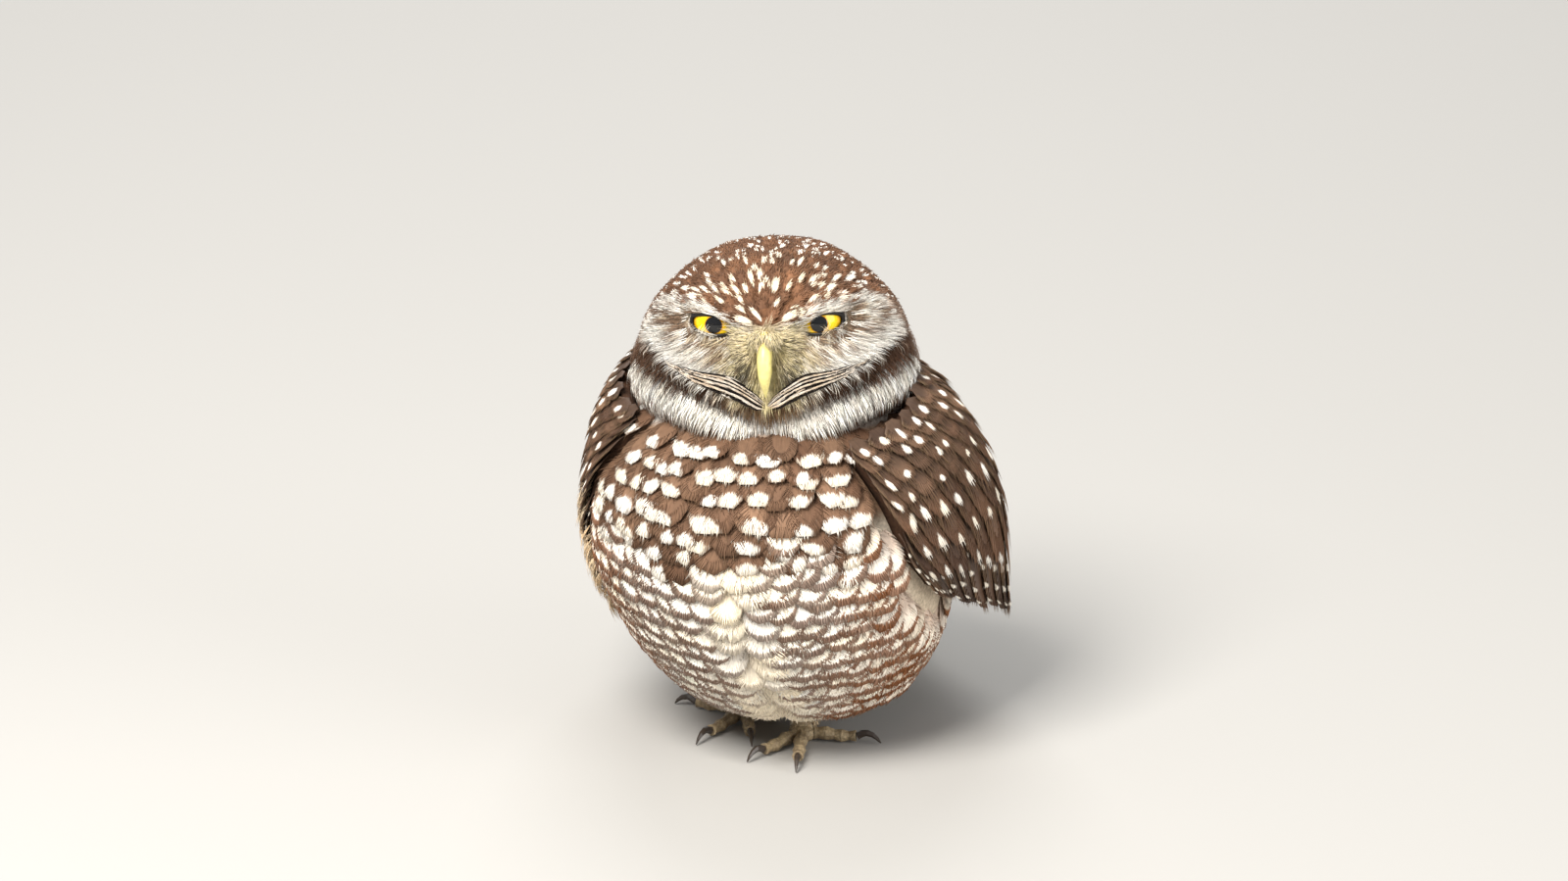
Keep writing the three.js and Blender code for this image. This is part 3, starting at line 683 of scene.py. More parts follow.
def brow_line(side):
    """Height of the pale brow over the eyes, in the head's frame."""
    return np.interp(side, BROW_SIDE, BROW_HEIGHT)


def ruff_line(side):
    """Height of the lower edge of the face, where the dark collar starts."""
    return -17.2 + 0.44 * side


def collar_line(side):
    """Height of the lower edge of the dark collar, where the white throat starts."""
    return -20.2 + 0.32 * side


def head_colours(p):
    """The plain colour of the head at places in its own frame, and how far each lies on the crown."""
    x, y, z = np.moveaxis(p, -1, 0)
    side = np.abs(x)
    front = smooth(-y, 4, 18)
    above = np.maximum(smooth(z - brow_line(side), 0.6, 1.8), 1 - front)
    colour = np.broadcast_to(CROWN, p.shape)
    temple = smooth(side, 24, 34) * (1 - smooth(z, 8, 16)) * smooth(-y, -14, 2)
    colour = mix(colour, mix(GREY, SOFT_BROWN, 0.6), 0.6 * temple)
    ear = smooth(side, 20, 30) * (1 - smooth(z, 6, 12))
    round_eye = mix(mix(CREAM, SOFT_BROWN, 0.34), SOFT_BROWN, 0.35 * ear)
    colour = mix(colour, round_eye, (1 - above) * front)
    cheek = bell(z - ruff_line(side) - 4.5, 4.5) * smooth(side, 11, 18) * (1 - smooth(side, 38, 43))
    colour = mix(colour, WHITE, np.clip(1.3 * cheek, 0, 1) * front)
    bristles = bell(x, 11) * (1 - smooth(z, 7, 10)) * smooth(z - ruff_line(side), 0, 3)
    colour = mix(colour, BRISTLE, np.clip(1.3 * bristles, 0, 1) * front)
    lores = bell(side - 6.5, 2.8) * bell(z + 4.0, 4.6)
    colour = mix(colour, srgb(104, 98, 84), 0.85 * lores * front)
    pale_brow = bell(z - brow_line(side), 1.2) * (1 - 0.5 * smooth(side, 24, 36))
    pale_brow = pale_brow * (0.5 + 0.5 * smooth(side, 2, 8))
    colour = mix(colour, mix(CREAM, WHITE, smooth(side, 2, 12)), front * pale_brow)
    below = smooth(ruff_line(side) - z, -0.6, 0.6)
    collar = mix(mix(DARK, BROWN, 0.35), mix(BUFF, BROWN, 0.65), 1 - smooth(side, 4, 18))
    colour = mix(colour, collar, below * smooth(-y, -6, 6))
    throat = smooth(collar_line(side) - z, -0.8, 1.0) * smooth(-y, -10, 4)
    return mix(colour, WHITE, throat), above


def body_colours(p):
    """The colour of the body's skin."""
    angle = np.abs(facing(p))
    z = p[..., 2]
    back = smooth(angle, 95, 125)
    belly = mix(mix(WHITE, CREAM, 0.5), BUFF, 0.45 * smooth(angle, 30, 80))
    colour = mix(belly, SOFT_BROWN, smooth(z, 84, 90))
    return mix(colour, BROWN, back * smooth(z, 30, 45))


def clear_of_eyes(p):
    """Places moved back into the eyeballs where they would stand in the eyes' openings."""
    near = eye_gap(p) < 1.6
    for side in SIDES.values():
        centre, ahead, _, _ = eye_frame(side)
        depth = (p - centre) @ ahead
        beside = lengths(p - centre - depth[:, None] * ahead)
        most = np.sqrt(np.maximum((EYE_RADIUS - 0.7) ** 2 - beside ** 2, 0))
        move = np.where(near & (depth > most) & (beside < EYE_RADIUS + 2), depth - most, 0)
        p = p - move[:, None] * ahead
    return p


LEG_SIDES = 24
SKIN_VOXEL = 0.0013  # in metres


def leg_middle(x, z):
    """How far to the side the middle of a leg lies at a height. The legs lean outward as they go up."""
    return x * (1 + 0.1 * (z - 10) / 20)


def skin_parts():
    """The closed forms that the skin is made of, each as its points and faces."""
    made = []
    for point, depth, turns, levels in ((body_point, COAT_BODY, 120, 80), (head_point, COAT_HEAD, 140, 100)):
        t, angle = np.meshgrid(np.linspace(0, 1, levels), round_angles(turns), indexing="ij")
        p = point(t, angle, -depth).reshape(-1, 3)
        made.append((p, net_faces(levels, turns, columns_close=True).tolist()))
    a = round_angles(LEG_SIDES)
    count = len(LEG_RINGS) * LEG_SIDES
    quads = net_faces(len(LEG_RINGS), LEG_SIDES, columns_close=True)[:, FLIPPED]
    ends = list(range(LEG_SIDES)), list(range(count - 1, count - LEG_SIDES - 1, -1))
    for x, y in FEET.values():
        rings = [vectors(leg_middle(x, z) + radius * np.cos(a), y + back + radius * np.sin(a), z)
                 for z, radius, back in LEG_RINGS]
        made.append((np.concatenate(rings), [*quads.tolist(), *ends]))
    return made


def build_skin():
    """One skin for the head, neck, torso and thighs, inside their solids by the coat's depth."""
    pieces = []
    for n, (p, faces) in enumerate(skin_parts()):
        mesh = bpy.data.meshes.new(f"skin_part_{n}")
        mesh.from_pydata(to_frame(p).tolist(), [], faces)
        mesh.update()
        pieces.append(linked(f"skin_part_{n}", mesh))
    bpy.ops.object.select_all(action="DESELECT")
    for piece in pieces:
        piece.select_set(True)
    bpy.context.view_layer.objects.active = pieces[0]
    bpy.ops.object.join()
    parts = pieces[0]
    remesh = parts.modifiers.new("one_surface", "REMESH")
    remesh.mode, remesh.voxel_size = "VOXEL", SKIN_VOXEL
    relax = parts.modifiers.new("relax", "SMOOTH")
    relax.iterations, relax.factor = 8, 0.5
    baked = bpy.data.meshes.new_from_object(parts.evaluated_get(bpy.context.evaluated_depsgraph_get()))
    bpy.data.objects.remove(parts)
    p = np.zeros(len(baked.vertices) * 3)
    baked.vertices.foreach_get("co", p)
    p = clear_of_eyes(p.reshape(-1, 3) / MM - SHIFT)
    baked.vertices.foreach_set("co", to_frame(p).ravel())
    own = in_head(p)
    is_head = smooth(own[:, 2], -27, -23) * (1 - inside(BODY, p, 6))
    tint = mix(body_colours(p), head_colours(own)[0], is_head) * 0.85
    layer = baked.attributes.new("tint", "FLOAT_COLOR", "POINT")
    layer.data.foreach_set("color", opaque(tint).astype(np.float32).ravel())
    baked.polygons.foreach_set("use_smooth", np.full(len(baked.polygons), True))
    covered = ("head", "neck", "torso", "thigh_left", "thigh_right")
    finish_piece(linked("skin", baked), skin_material(), "plumage", *covered)


def wing_covers(p, margin):
    """True where a place on the body lies under one of the wings."""
    found = np.zeros(p.shape[0], bool)
    u, v = np.meshgrid(np.linspace(0.02, 0.98, 40), np.linspace(0.03, 0.97, 40))
    for side in SIDES.values():
        net = wing_point(side, u, v).reshape(-1, 3)
        found |= np.sqrt(((p[:, None] - net[None]) ** 2).sum(-1)).min(1) < margin
    return found


def flat(colour):
    """A tint that is the same all over each feather: one colour, or one for each."""
    colour = np.asarray(colour)
    colour = colour[:, None] if colour.ndim == 2 else colour
    return lambda a, s, draw: colour + 0 * s[..., None]


def build_body_feathers(material):
    """Contour feathers: spotted on the breast, barred below, fluffy at the vent, dark between the wings."""
    t, angle = on_rings(body_point, 5.7, 6.4, 0.045, 0.93, jitter=0.16)
    p = body_point(t, angle, -COAT_BODY)
    out = normals_of(body_point, t, angle)
    keep = ~inside(HEAD, in_head(p), 2.5) & ~wing_covers(body_point(t, angle), 6.5)
    t, angle, p, out = picked(keep, t, angle, p, out)
    count = len(p)
    rng = np.random.default_rng(21)
    signed, z = facing(p), p[:, 2]
    turn = np.abs(signed)
    low, high = 1 - smooth(z, 16, 34), smooth(z, 95, 112)
    middle_line = 1.5 + (92 - z) * 0.19
    middle = bell(p[:, 0] - middle_line, 3.6 + 9 * low) * (1 - smooth(z, 84, 92)) * (turn < 70)
    parting = 0.30 * np.sign(p[:, 0] - middle_line) * (1 - smooth(turn, 20, 60)) * (z < 92)
    down = vectors(parting, 0.12 + 0.35 * smooth(turn, 30, 90), -1.0)
    length = 16.5 + 1.6 * rng.random(count) - 4 * high + 1.5 * low
    half = 6.1 + 1.2 * rng.random(count) - 1.5 * high
    flank = smooth(turn, 22, 62)
    chance = rng.random(count)
    breast = z + 15 * (rng.random(count) - 0.5) + 5 * bell(signed + 4, 16) > 90 - 3 * smooth(turn, 50, 80)
    back = turn > 112
    brown = mix(mix(DARK, BROWN, 0.45), SOFT_BROWN, 0.5 * rng.random(count))
    white = mix(WHITE, CREAM, 0.5 * rng.random(count))
    pale = mix(white, BUFF, 0.25 * flank + 0.20 * low * (turn < 60))
    pale = mix(pale, CREAM, np.clip(middle, 0, 1) * 0.8)
    bar_colour = mix(mix(DARK, RUST, 0.45), RUST, np.clip(flank + 0.3 * (1 - smooth(z, 30, 60)), 0, 1))
    bar = (0.90 + 0.10 * flank) * (0.85 + 0.15 * chance) * np.clip(1 - 1.3 * middle, 0, 1)
    bar = bar * (1 - 0.7 * low * (turn < 40))
    thick = (1.7 + 0.45 * flank) * (0.85 + 0.3 * rng.random(count))
    barred = marks(count, bar_colour, bar, 0, 1.3 + 0.4 * rng.random(count), 60, thick)
    centre = bell(signed + 4, 13) * bell(z - 90, 9)
    spot_white = mix(WHITE, CREAM, 0.6 * rng.random(count))
    shown = (chance < 0.97 - 0.25 * centre) * 0.95
    spot_places = rng.normal(0, 1, count), 1.6 + 1.4 * rng.random(count)
    spot_sizes = 2.2 + 1.9 * rng.random(count), 2.0 + 1.3 * rng.random(count)
    spotted = marks(count, spot_white, shown, *spot_places, *spot_sizes)
    dot_sizes = [1.3 + 0.6 * rng.random(count) for _ in range(2)]
    dotted = marks(count, WHITE, chance < 0.6, 0.4, 1.8, *dot_sizes)

    def belly_tint(chosen):
        ground, dark, on_flank = (v[:, None] for v in picked(chosen, pale, bar_colour, flank))
        return lambda a, s, draw: mix(ground + 0 * s[..., None], dark + 0 * s[..., None],
                                      (0.25 + 0.25 * on_flank) * (1 - smooth(s, 0.35, 0.62)))

    def breast_tint(chosen):
        ground = brown[chosen][:, None]
        return lambda a, s, draw: mix(ground + 0 * s[..., None], BUFF, 0.45 * smooth(s, 0.97, 1.12))

    shape = Shape(6, 7, 30, blunt=2.7, reach=0.07, core=0.95, barb_width=0.05)
    back_shape = Shape(6, 5, 18, reach=0.20, barb_width=0.07)
    for name, chosen, shape, tint, marked in (
        ("plumage_breast", breast & ~back, shape, breast_tint, spotted),
        ("plumage_belly", ~breast & ~back & (z > 50), shape, belly_tint, barred),
        ("plumage_vent", ~breast & ~back & (z <= 50), shape, belly_tint, barred),
        ("plumage_back", back, back_shape, breast_tint, dotted),
    ):
        bake = skin_map(t[chosen], angle[chosen], *BODY_MAP)
        chosen_places = picked(chosen, p, down, out, length)
        lay = lying(*chosen_places, (-0.4, COAT_BODY + 0.3), 60, rng)
        feathers(name, shape, lay, half[chosen], length[chosen], tint(chosen), bake, material,
                 picked(chosen, *marked), ruffle=0.13)


FLANK_TUFTS = 260


def build_flank_fluff(material):
    """Long loose buff tufts that stand out of the bird's right flank, under the wing."""
    rng = np.random.default_rng(51)
    count = FLANK_TUFTS
    t = 0.38 + 0.20 * rng.random(count)
    angle = -np.radians(68 + 28 * rng.random(count))
    out = normals_of(body_point, t, angle)
    p = body_point(t, angle, -COAT_BODY)
    down = vectors(-0.4, 0.25 + 0.2 * rng.random(count), -1.0)
    length = 11 + 4 * rng.random(count)
    tone = mix(mix(CREAM, BUFF, 0.2 + 0.8 * rng.random(count)), BROWN, 0.35 * (rng.random(count) > 0.75))
    shape = Shape(0, 0, 9, reach=0.4, barb_width=0.09, thick=0.2, start=0.62)
    lay = lying(p, down, out, length, (0.5, COAT_BODY + 3.2), 70, rng)
    bake = skin_map(t, angle, *BODY_MAP)
    feathers("plumage_flank", shape, lay, 2.4, length, flat(tone), bake, material, ruffle=0.3)


def head_spot(x, z):
    """The (t, angle) on the front of the head near a place seen from straight ahead, in its own frame."""
    t = np.linspace(0, 1, 400)
    table = along(HEAD, t)
    order = np.argsort(table[:, 0])
    w = np.interp(z, table[order, 0], table[order, 1])
    return np.interp(z, table[order, 0], t[order]), np.arcsin(np.clip(x / w, -0.98, 0.98))


def eye_gap(p):
    """How far places lie outside the eyes' openings, measured across the line of sight."""
    gaps = []
    for side in SIDES.values():
        centre, ahead, corners, up = eye_frame(side)
        across, high = (p - centre) @ corners, (p - centre) @ up
        wide, tall = opening_outline(0.0)
        at = np.arctan2(tall, wide)
        order = np.argsort(at)
        reach = np.interp(np.arctan2(high, across), at[order], np.hypot(wide, tall)[order], period=2 * np.pi)
        gap = np.hypot(across, high) - reach
        gaps.append(np.where((p - centre) @ ahead > 0, gap, 99))
    return np.minimum(*gaps)


def face_flow(own):
    """Which way the head's feathers lie: back over the crown, out from the bill and down from the eyes."""
    flow = unit(own - BILL_TOP)
    side = np.abs(own[:, 0])
    for x in (EYE_AT[0], -EYE_AT[0]):
        eye = np.array([x, EYE_AT[1], EYE_AT[2]])
        near = (bell(lengths(own - eye), 13) * (own[:, 2] < eye[2] + 2))[:, None]
        flow = flow * (1 - near) + unit(own - eye - [0, 6, 0]) * near
    brow = (bell(own[:, 2] - brow_line(side) - 0.5, 2.6) * (own[:, 1] < -8) * smooth(side, 2, 6))[:, None]
    along_brow = unit(vectors(np.sign(own[:, 0]), 0.5, 0.30))
    flow = flow * (1 - 0.8 * brow) + 0.8 * along_brow * brow
    return unit(flow + 0.6 * np.array([0, 0, -1]) * smooth(own[:, 1], 0, 30)[:, None])


def head_places(along_by, across_by, depth):
    """Places for feathers on the head, lifted clear of the eyeballs and kept off the lids' black edges."""
    t, angle = on_rings(head_point, along_by, across_by, 0.06, 0.999, jitter=0.28)
    surface = head_point(t, angle)
    out = normals_of(head_point, t, angle)
    p = surface - out * depth
    for side in SIDES.values():
        centre = eye_frame(side)[0]
        away = lengths(p - centre)
        lifted = np.maximum(away, EYE_RADIUS + 0.45)
        p = centre + (p - centre) * np.where(eye_gap(p) < 6, lifted / away, 1)[:, None]
        on_lid = bell(np.maximum(eye_gap(p), 0), 4.5) * (away < EYE_RADIUS + 3)
        out = unit(out * (1 - on_lid[:, None]) + (p - centre) / away[:, None] * on_lid[:, None])
    own = in_head(p)
    corner = bell(np.abs(own[:, 0]) - 24.5, 2.0) * bell(own[:, 2] - 11.5, 2.0)
    keep = (eye_gap(p) > LID_BLACK + 1.2 * corner) & ~inside(BODY, p, 3.5)
    return picked(keep, t, angle, in_head(surface), p, out)


# How far below the collar's lower edge the white throat ends.
THROAT_DEEP = 6.0


def build_crown(material, rng):
    """Small white-tipped feathers over the crown and nape."""
    t, angle, own, p, out = head_places(3.3, 2.4, COAT_HEAD)
    _, above = head_colours(own)
    under = (own[:, 1] < 2) & (own[:, 2] < ruff_line(np.abs(own[:, 0])) + 1)
    crown = (above > 0.5) & ~under
    near = bell(lengths(own - BILL_TOP) - 12, 17)
    shape = Shape(5, 3, 10, reach=0.22, barb_width=0.13, thick=0.12)
    for name, chosen in (("plumage_crown", own[:, 1] < 0), ("plumage_nape", own[:, 1] >= 0)):
        chosen = crown & chosen
        count = int(chosen.sum())
        ground, _ = head_colours(own[chosen])
        ground = mix(ground, DARK, 0.75 * rng.random(count))
        close = near[chosen]
        white = mix(WHITE, CREAM, 0.9 * close)
        shown = rng.random(count) < 0.42 + 0.12 * close
        wide = 0.45 + 0.60 * rng.random(count) ** 2 + 0.25 * close
        tall = 0.8 + 0.9 * rng.random(count) + 1.9 * close
        aside = 0.45 * rng.normal(0, 1, count)
        marked = marks(count, white, shown * 0.96, aside, 1.2 + 0.6 * tall, wide, tall)
        length = 7.2 + 0.8 * rng.random(count) - 1.0 * close
        flow = headward(face_flow(own[chosen]))
        lay = lying(p[chosen], flow, out[chosen], length, (-0.3, COAT_HEAD + 0.2), 30, rng)

        def tint(a, s, draw, ground=ground):
            return mix(ground[:, None] + 0 * s[..., None], BUFF, 0.35 * smooth(s, 0.95, 1.15))

        bake = skin_map(t[chosen], angle[chosen], *HEAD_MAP)
        feathers(name, shape, lay, 2.1, length, tint, bake, material, marked, ruffle=0.15)


def build_face(material, rng):
    """Short tufts over the face, streaked, with the white brows and cheeks."""
    t, angle, own, p, out = head_places(1.55, 1.7, COAT_FACE)
    ground, above = head_colours(own)
    side = np.abs(own[:, 0])
    beak = (side < 2.6) & (own[:, 2] < 2.0) & (own[:, 2] > -11.0)
    chosen = (above <= 0.6) & (own[:, 1] < -1) & (own[:, 2] > ruff_line(side) + 1.8) & ~beak
    t, angle, own, p, out, ground, side = picked(chosen, t, angle, own, p, out, ground, side)
    count = len(p)
    brow = bell(own[:, 2] - brow_line(side), 1.1) * (1 - 0.5 * smooth(side, 24, 34)) * smooth(side, 2, 7)
    ear = smooth(side, 20, 30)
    cheek = bell(own[:, 2] - ruff_line(side) - 3.5, 4.0) * smooth(side, 10, 17)
    lores = bell(side, 11)
    streak = rng.random(count)
    dark_share = 0.30 + 0.14 * ear - 0.40 * np.maximum(brow, cheek)
    tone = mix(ground, WHITE, 0.85 * (streak > 0.58) * (1 - lores))
    tone = mix(tone, mix(BROWN, SOFT_BROWN, 0.2), 0.85 * (streak < dark_share) * (1 - 0.6 * lores))
    tone = mix(tone, WHITE, np.maximum(0.95 * brow, 0.7 * cheek))
    length = 5.0 + 0.4 * cheek + 0.8 * rng.random(count) - 0.8 * lores
    lay = lying(p, headward(face_flow(own)), out, length, (-0.1, COAT_FACE + 0.3 + 0.5 * cheek), 30, rng)
    bake, shape = skin_map(t, angle, *HEAD_MAP), Shape(0, 0, 8, **TUFT)
    feathers("plumage_face", shape, lay, 0.85, length, flat(tone), bake, material, ruffle=0.3)


def build_throat(material, rng):
    """The dark collar's tufts under the face, the white throat and the mottled tufts below it."""
    t, angle, own, p, out = head_places(1.9, 2.0, COAT_HEAD)
    side = np.abs(own[:, 0])
    chosen = (own[:, 2] < ruff_line(side) + 0.6) & (own[:, 1] < 8)
    t, angle, own, p, out, side = picked(chosen, t, angle, own, p, out, side)
    count = len(p)
    white = own[:, 2] < collar_line(side) - 0.2 + 1.2 * (rng.random(count) - 0.5)
    low = own[:, 2] < collar_line(side) - THROAT_DEEP + 1.5 * (rng.random(count) - 0.5)
    # The throat is white. The factor of 1.06 is painted light, brightening the tufts against the shade under
    # the head.
    white_with_painted_light = mix(WHITE, CREAM, 0.25 * rng.random(count)) * 1.06
    dark = mix(head_colours(own)[0], NEARLY_BLACK, 0.35 * rng.random(count))
    mottled = mix(BROWN, SOFT_BROWN, 0.6 * rng.random(count))
    mottled = mix(mottled, WHITE, 0.85 * (rng.random(count) < 0.35))
    tone = np.where(low[:, None], mottled, np.where(white[:, None], white_with_painted_light, dark))
    sideways = 0.45 * np.sign(own[:, 0]) * smooth(side, 0, 14)
    flow = vectors(sideways, -0.25, -1.0)
    length = np.where(low, 5.0, np.where(white, 6.8, 4.8)) + 1.2 * rng.random(count)
    lift = (-0.2, COAT_HEAD + np.where(white, 0.5, 0.4))
    lay = lying(p, headward(unit(flow)), out, length, lift, 24, rng)
    bake, shape = skin_map(t, angle, *HEAD_MAP), Shape(0, 0, 8, **TUFT)
    half = np.where(white, 1.5, 1.1)
    feathers("plumage_throat", shape, lay, half, length, flat(tone), bake, material, ruffle=0.3)


def build_head_feathers(material):
    """Small feathers over the crown and nape, tufts over the face, the lined ruff and the fringed throat."""
    rng = np.random.default_rng(33)
    build_crown(material, rng)
    build_face(material, rng)
    build_throat(material, rng)
    build_ruff(material)
    build_lid_feathers(material)


# The ruff's lines on each side, the gap between them, and how far from the middle their last strands start.
RUFF_LINES, RUFF_GAP, RUFF_REACH = 9, 0.72, 27


def on_ruff(side, x, k):
    """Places along the ruff's lines: their (t, angle), their points and the directions out of the head."""
    spread = 0.18 + 0.82 * bell(x - 10, 9)
    t, angle = head_spot(side * x, ruff_line(x) + 0.5 + RUFF_GAP * k * spread)
    return t, angle, head_point(t, angle), normals_of(head_point, t, angle)


def build_ruff(material):
    """Dark and pale lines that run from under the bill up along the lower edge of the face."""
    rng = np.random.default_rng(45)
    x, k = np.meshgrid(np.arange(0.6, RUFF_REACH, 1.3), np.arange(RUFF_LINES))
    x, k = x.ravel(), k.ravel()
    x, k = picked(x < RUFF_REACH - 0.8 * k, x, k)
    x, k, side = np.tile(x, 2), np.tile(k, 2), np.repeat([1, -1], len(x))
    count = len(x)
    dark = (k % 2 == 0) & (rng.random(count) < 0.95)
    x = x + rng.normal(0, 0.3, count)
    line = k + rng.normal(0, 0.10, count)
    t, angle, start, out = on_ruff(side, x, line)
    _, _, middle, middle_out = on_ruff(side, x + 3, line)
    _, _, end, end_out = on_ruff(side, x + 6, line)
    start = start - out * 0.5
    middle = middle + middle_out * (COAT_FACE + 0.7)
    end = end + end_out * (COAT_FACE + 0.3)
    curves = np.stack([start, 2 * middle - (start + end) / 2, end], 1)
    lay = curving(curves, np.stack([out, end_out], 1))
    tone = np.where(dark[:, None], 0.6 * NEARLY_BLACK, mix(WHITE, BUFF, 0.2 + 0.5 * rng.random(count)))
    shape = Shape(0, 0, 3, reach=0.3, barb_width=0.5, thick=0.2, start=0.75, taper=-0.6)
    half = np.where(dark, 0.30, 0.32)
    bake = skin_map(t, angle, *HEAD_MAP)
    feathers("plumage_ruff", shape, lay, half, 6.5, flat(tone), bake, material, ruffle=0.06)


# How far from the eyes' openings the rings of lid tufts start, and how many tufts each leaves out.
LID_ROWS = ((1.05, 1), (1.7, 1), (2.4, 0), (3.2, 0), (4.1, 0))


def build_lid_feathers(material):
    """Rings of short tufts round the eyes' openings, which cover the lids behind their black edges."""
    rng = np.random.default_rng(61)
    parts = []
    for side in SIDES.values():
        for row, left_out in LID_ROWS:
            centre, here = opening(side, row)
            _, further = opening(side, row + 2)
            flow = unit(further - here)
            tufts = centre + here * (EYE_RADIUS + 0.55), here, flow, np.full(len(here), row)
            parts.append([v[left_out:] for v in tufts])
    p, out, flow, grow = (np.concatenate([part[k] for part in parts]) for k in range(4))
    own = in_head(p)
    side = np.abs(own[:, 0])
    corner = bell(side - 24.0, 2.2) * bell(own[:, 2] - 10.5, 2.0)
    keep = (rng.random(len(p)) < 0.75) & (grow > 0.9 + 1.4 * corner)
    p, out, flow, own, side = picked(keep, p, out, flow, own, side)
    count = len(p)
    brow = bell(own[:, 2] - brow_line(side) + 0.3, 1.3)
    streak = rng.random(count)
    tone = mix(head_colours(own)[0], WHITE, 0.8 * (streak > 0.6))
    tone = mix(tone, BROWN, 0.8 * (streak < 0.36 - 0.4 * brow))
    tone = mix(tone, WHITE, 0.9 * brow)
    length = 3.0 + 0.8 * rng.random(count)
    t, angle = head_spot(own[:, 0], own[:, 2])
    lay = lying(p, flow, out, length, (-0.25, 0.8), 12, rng)
    bake, shape = skin_map(t, angle, *HEAD_MAP), Shape(0, 0, 6, **TUFT)
    feathers("plumage_lids", shape, lay, 0.8, length, flat(tone), bake, material, ruffle=0.25)


# Flight feathers and their coverts.


class Wing:
    """One folded wing: rows of feathers laid on its net."""

    def __init__(self, name, side):
        self.name, self.side = name, side
        self.rng = np.random.default_rng(60 + side)

    def rows(self, piece, material, shape, tiers, tint, spot_of, lean=0.10):
        """Feathers of several tiers as one piece. A tier holds the shares of the way down at which its
        feathers start and end, those across between which they lie, their number and how wide they are for
        their spacing, and the heights of their roots and tips over the net."""
        side, rng = self.side, self.rng
        columns = []
        for n, (u0, u1, v0, v1, count, spread, low, high) in enumerate(tiers):
            share = (np.arange(count) + 0.5 + 0.35 * (n % 2) + rng.normal(0, 0.10, count)) / count
            v = v0 + (v1 - v0) * share
            start = np.full(count, u0) + rng.normal(0, 0.008, count)
            end = np.full(count, u1) + rng.normal(0, 0.010, count)
            centre = (start + end) / 2
            middle, here, there = (wing_point(side, q, v) for q in (centre, start, end))
            length = lengths(middle - here) + lengths(there - middle)
            half_pitch = np.abs(v1 - v0) / count / 2
            across = wing_point(side, centre, v + half_pitch) - wing_point(side, centre, v - half_pitch)
            half = lengths(across) * spread
            columns.append(vectors(v, start, end, length, half, low, high))
        v, start, end, length, half, low, high = np.concatenate(columns).T
        count = len(v)

        def lay(x, s):
            u = start[:, None] + (end - start)[:, None] * s
            here = v[:, None] + 0 * s
            step = 0.01
            wide = lengths(wing_point(side, u, here + step) - wing_point(side, u, here - step)) / (2 * step)
            p, _, out = wing_frame(side, u, here + x / np.maximum(wide, 5))
            rise = low[:, None] + (high - low)[:, None] * np.clip(s, 0, 2) ** 0.6 - lean * x
            return p + out * rise[..., None], out

        bake = vectors(0.03 + 0.94 * v, 0.05 + 0.9 * start)
        feathers(f"wing_{piece}_{self.name}", shape, lay, half, length, tint, bake, material,
                 spot_of(count, half, rng), "flight_feathers", ruffle=0.06, turned=side > 0,
                 straight=piece == "flight")


def covert_spots(chance, wide, tall, at=3.0):
    """White ovals near the tips of some coverts."""

    def spot_of(count, half, rng):
        shown = 0.97 * (rng.random(count) < chance)
        white = mix(WHITE, CREAM, 0.5 * rng.random(count))
        place = rng.normal(0, 0.7, count), at + 0.8 * rng.random(count)
        size = wide * (0.75 + 0.5 * rng.random(count)), tall * (0.75 + 0.6 * rng.random(count))
        return marks(count, white, shown, *place, *size)

    return spot_of


def notches(count, half, rng):
    """Pale half ovals along both edges of a long feather."""
    return marks(count, mix(CREAM, WHITE, 0.6), 0.9, half, 4.5 + rng.random(count), 0.5 * half, 1.3)


def dark_vane(dark=DARK, light=BROWN, edge=0.45):
    """The tint of a brown vane, with painted shade towards its root where the feather above lies over it, and
    a buff edge and tip.
    """

    def tint(a, s, draw):
        ground = mix(dark, light, 0.1 + 0.8 * draw + 0 * s)
        # Painted shade: the vane darkens towards its root, under the tip of the feather above.
        ground = mix(ground, NEARLY_BLACK, 0.65 * (1 - smooth(s, 0.45, 0.85)))
        pale = np.maximum(smooth(s, 0.965, 1.03), 0.4 * smooth(np.abs(a), 0.75, 1.0))
        return mix(ground, BUFF, edge * pale)

    return tint


LONG_VANE = {"thick": 0.35, "barb_width": 0.05}
BASE_DEPTHS = (2.8, 7.5)  # the outer and inner face of a wing's base, under the net
PRIMARIES = 8


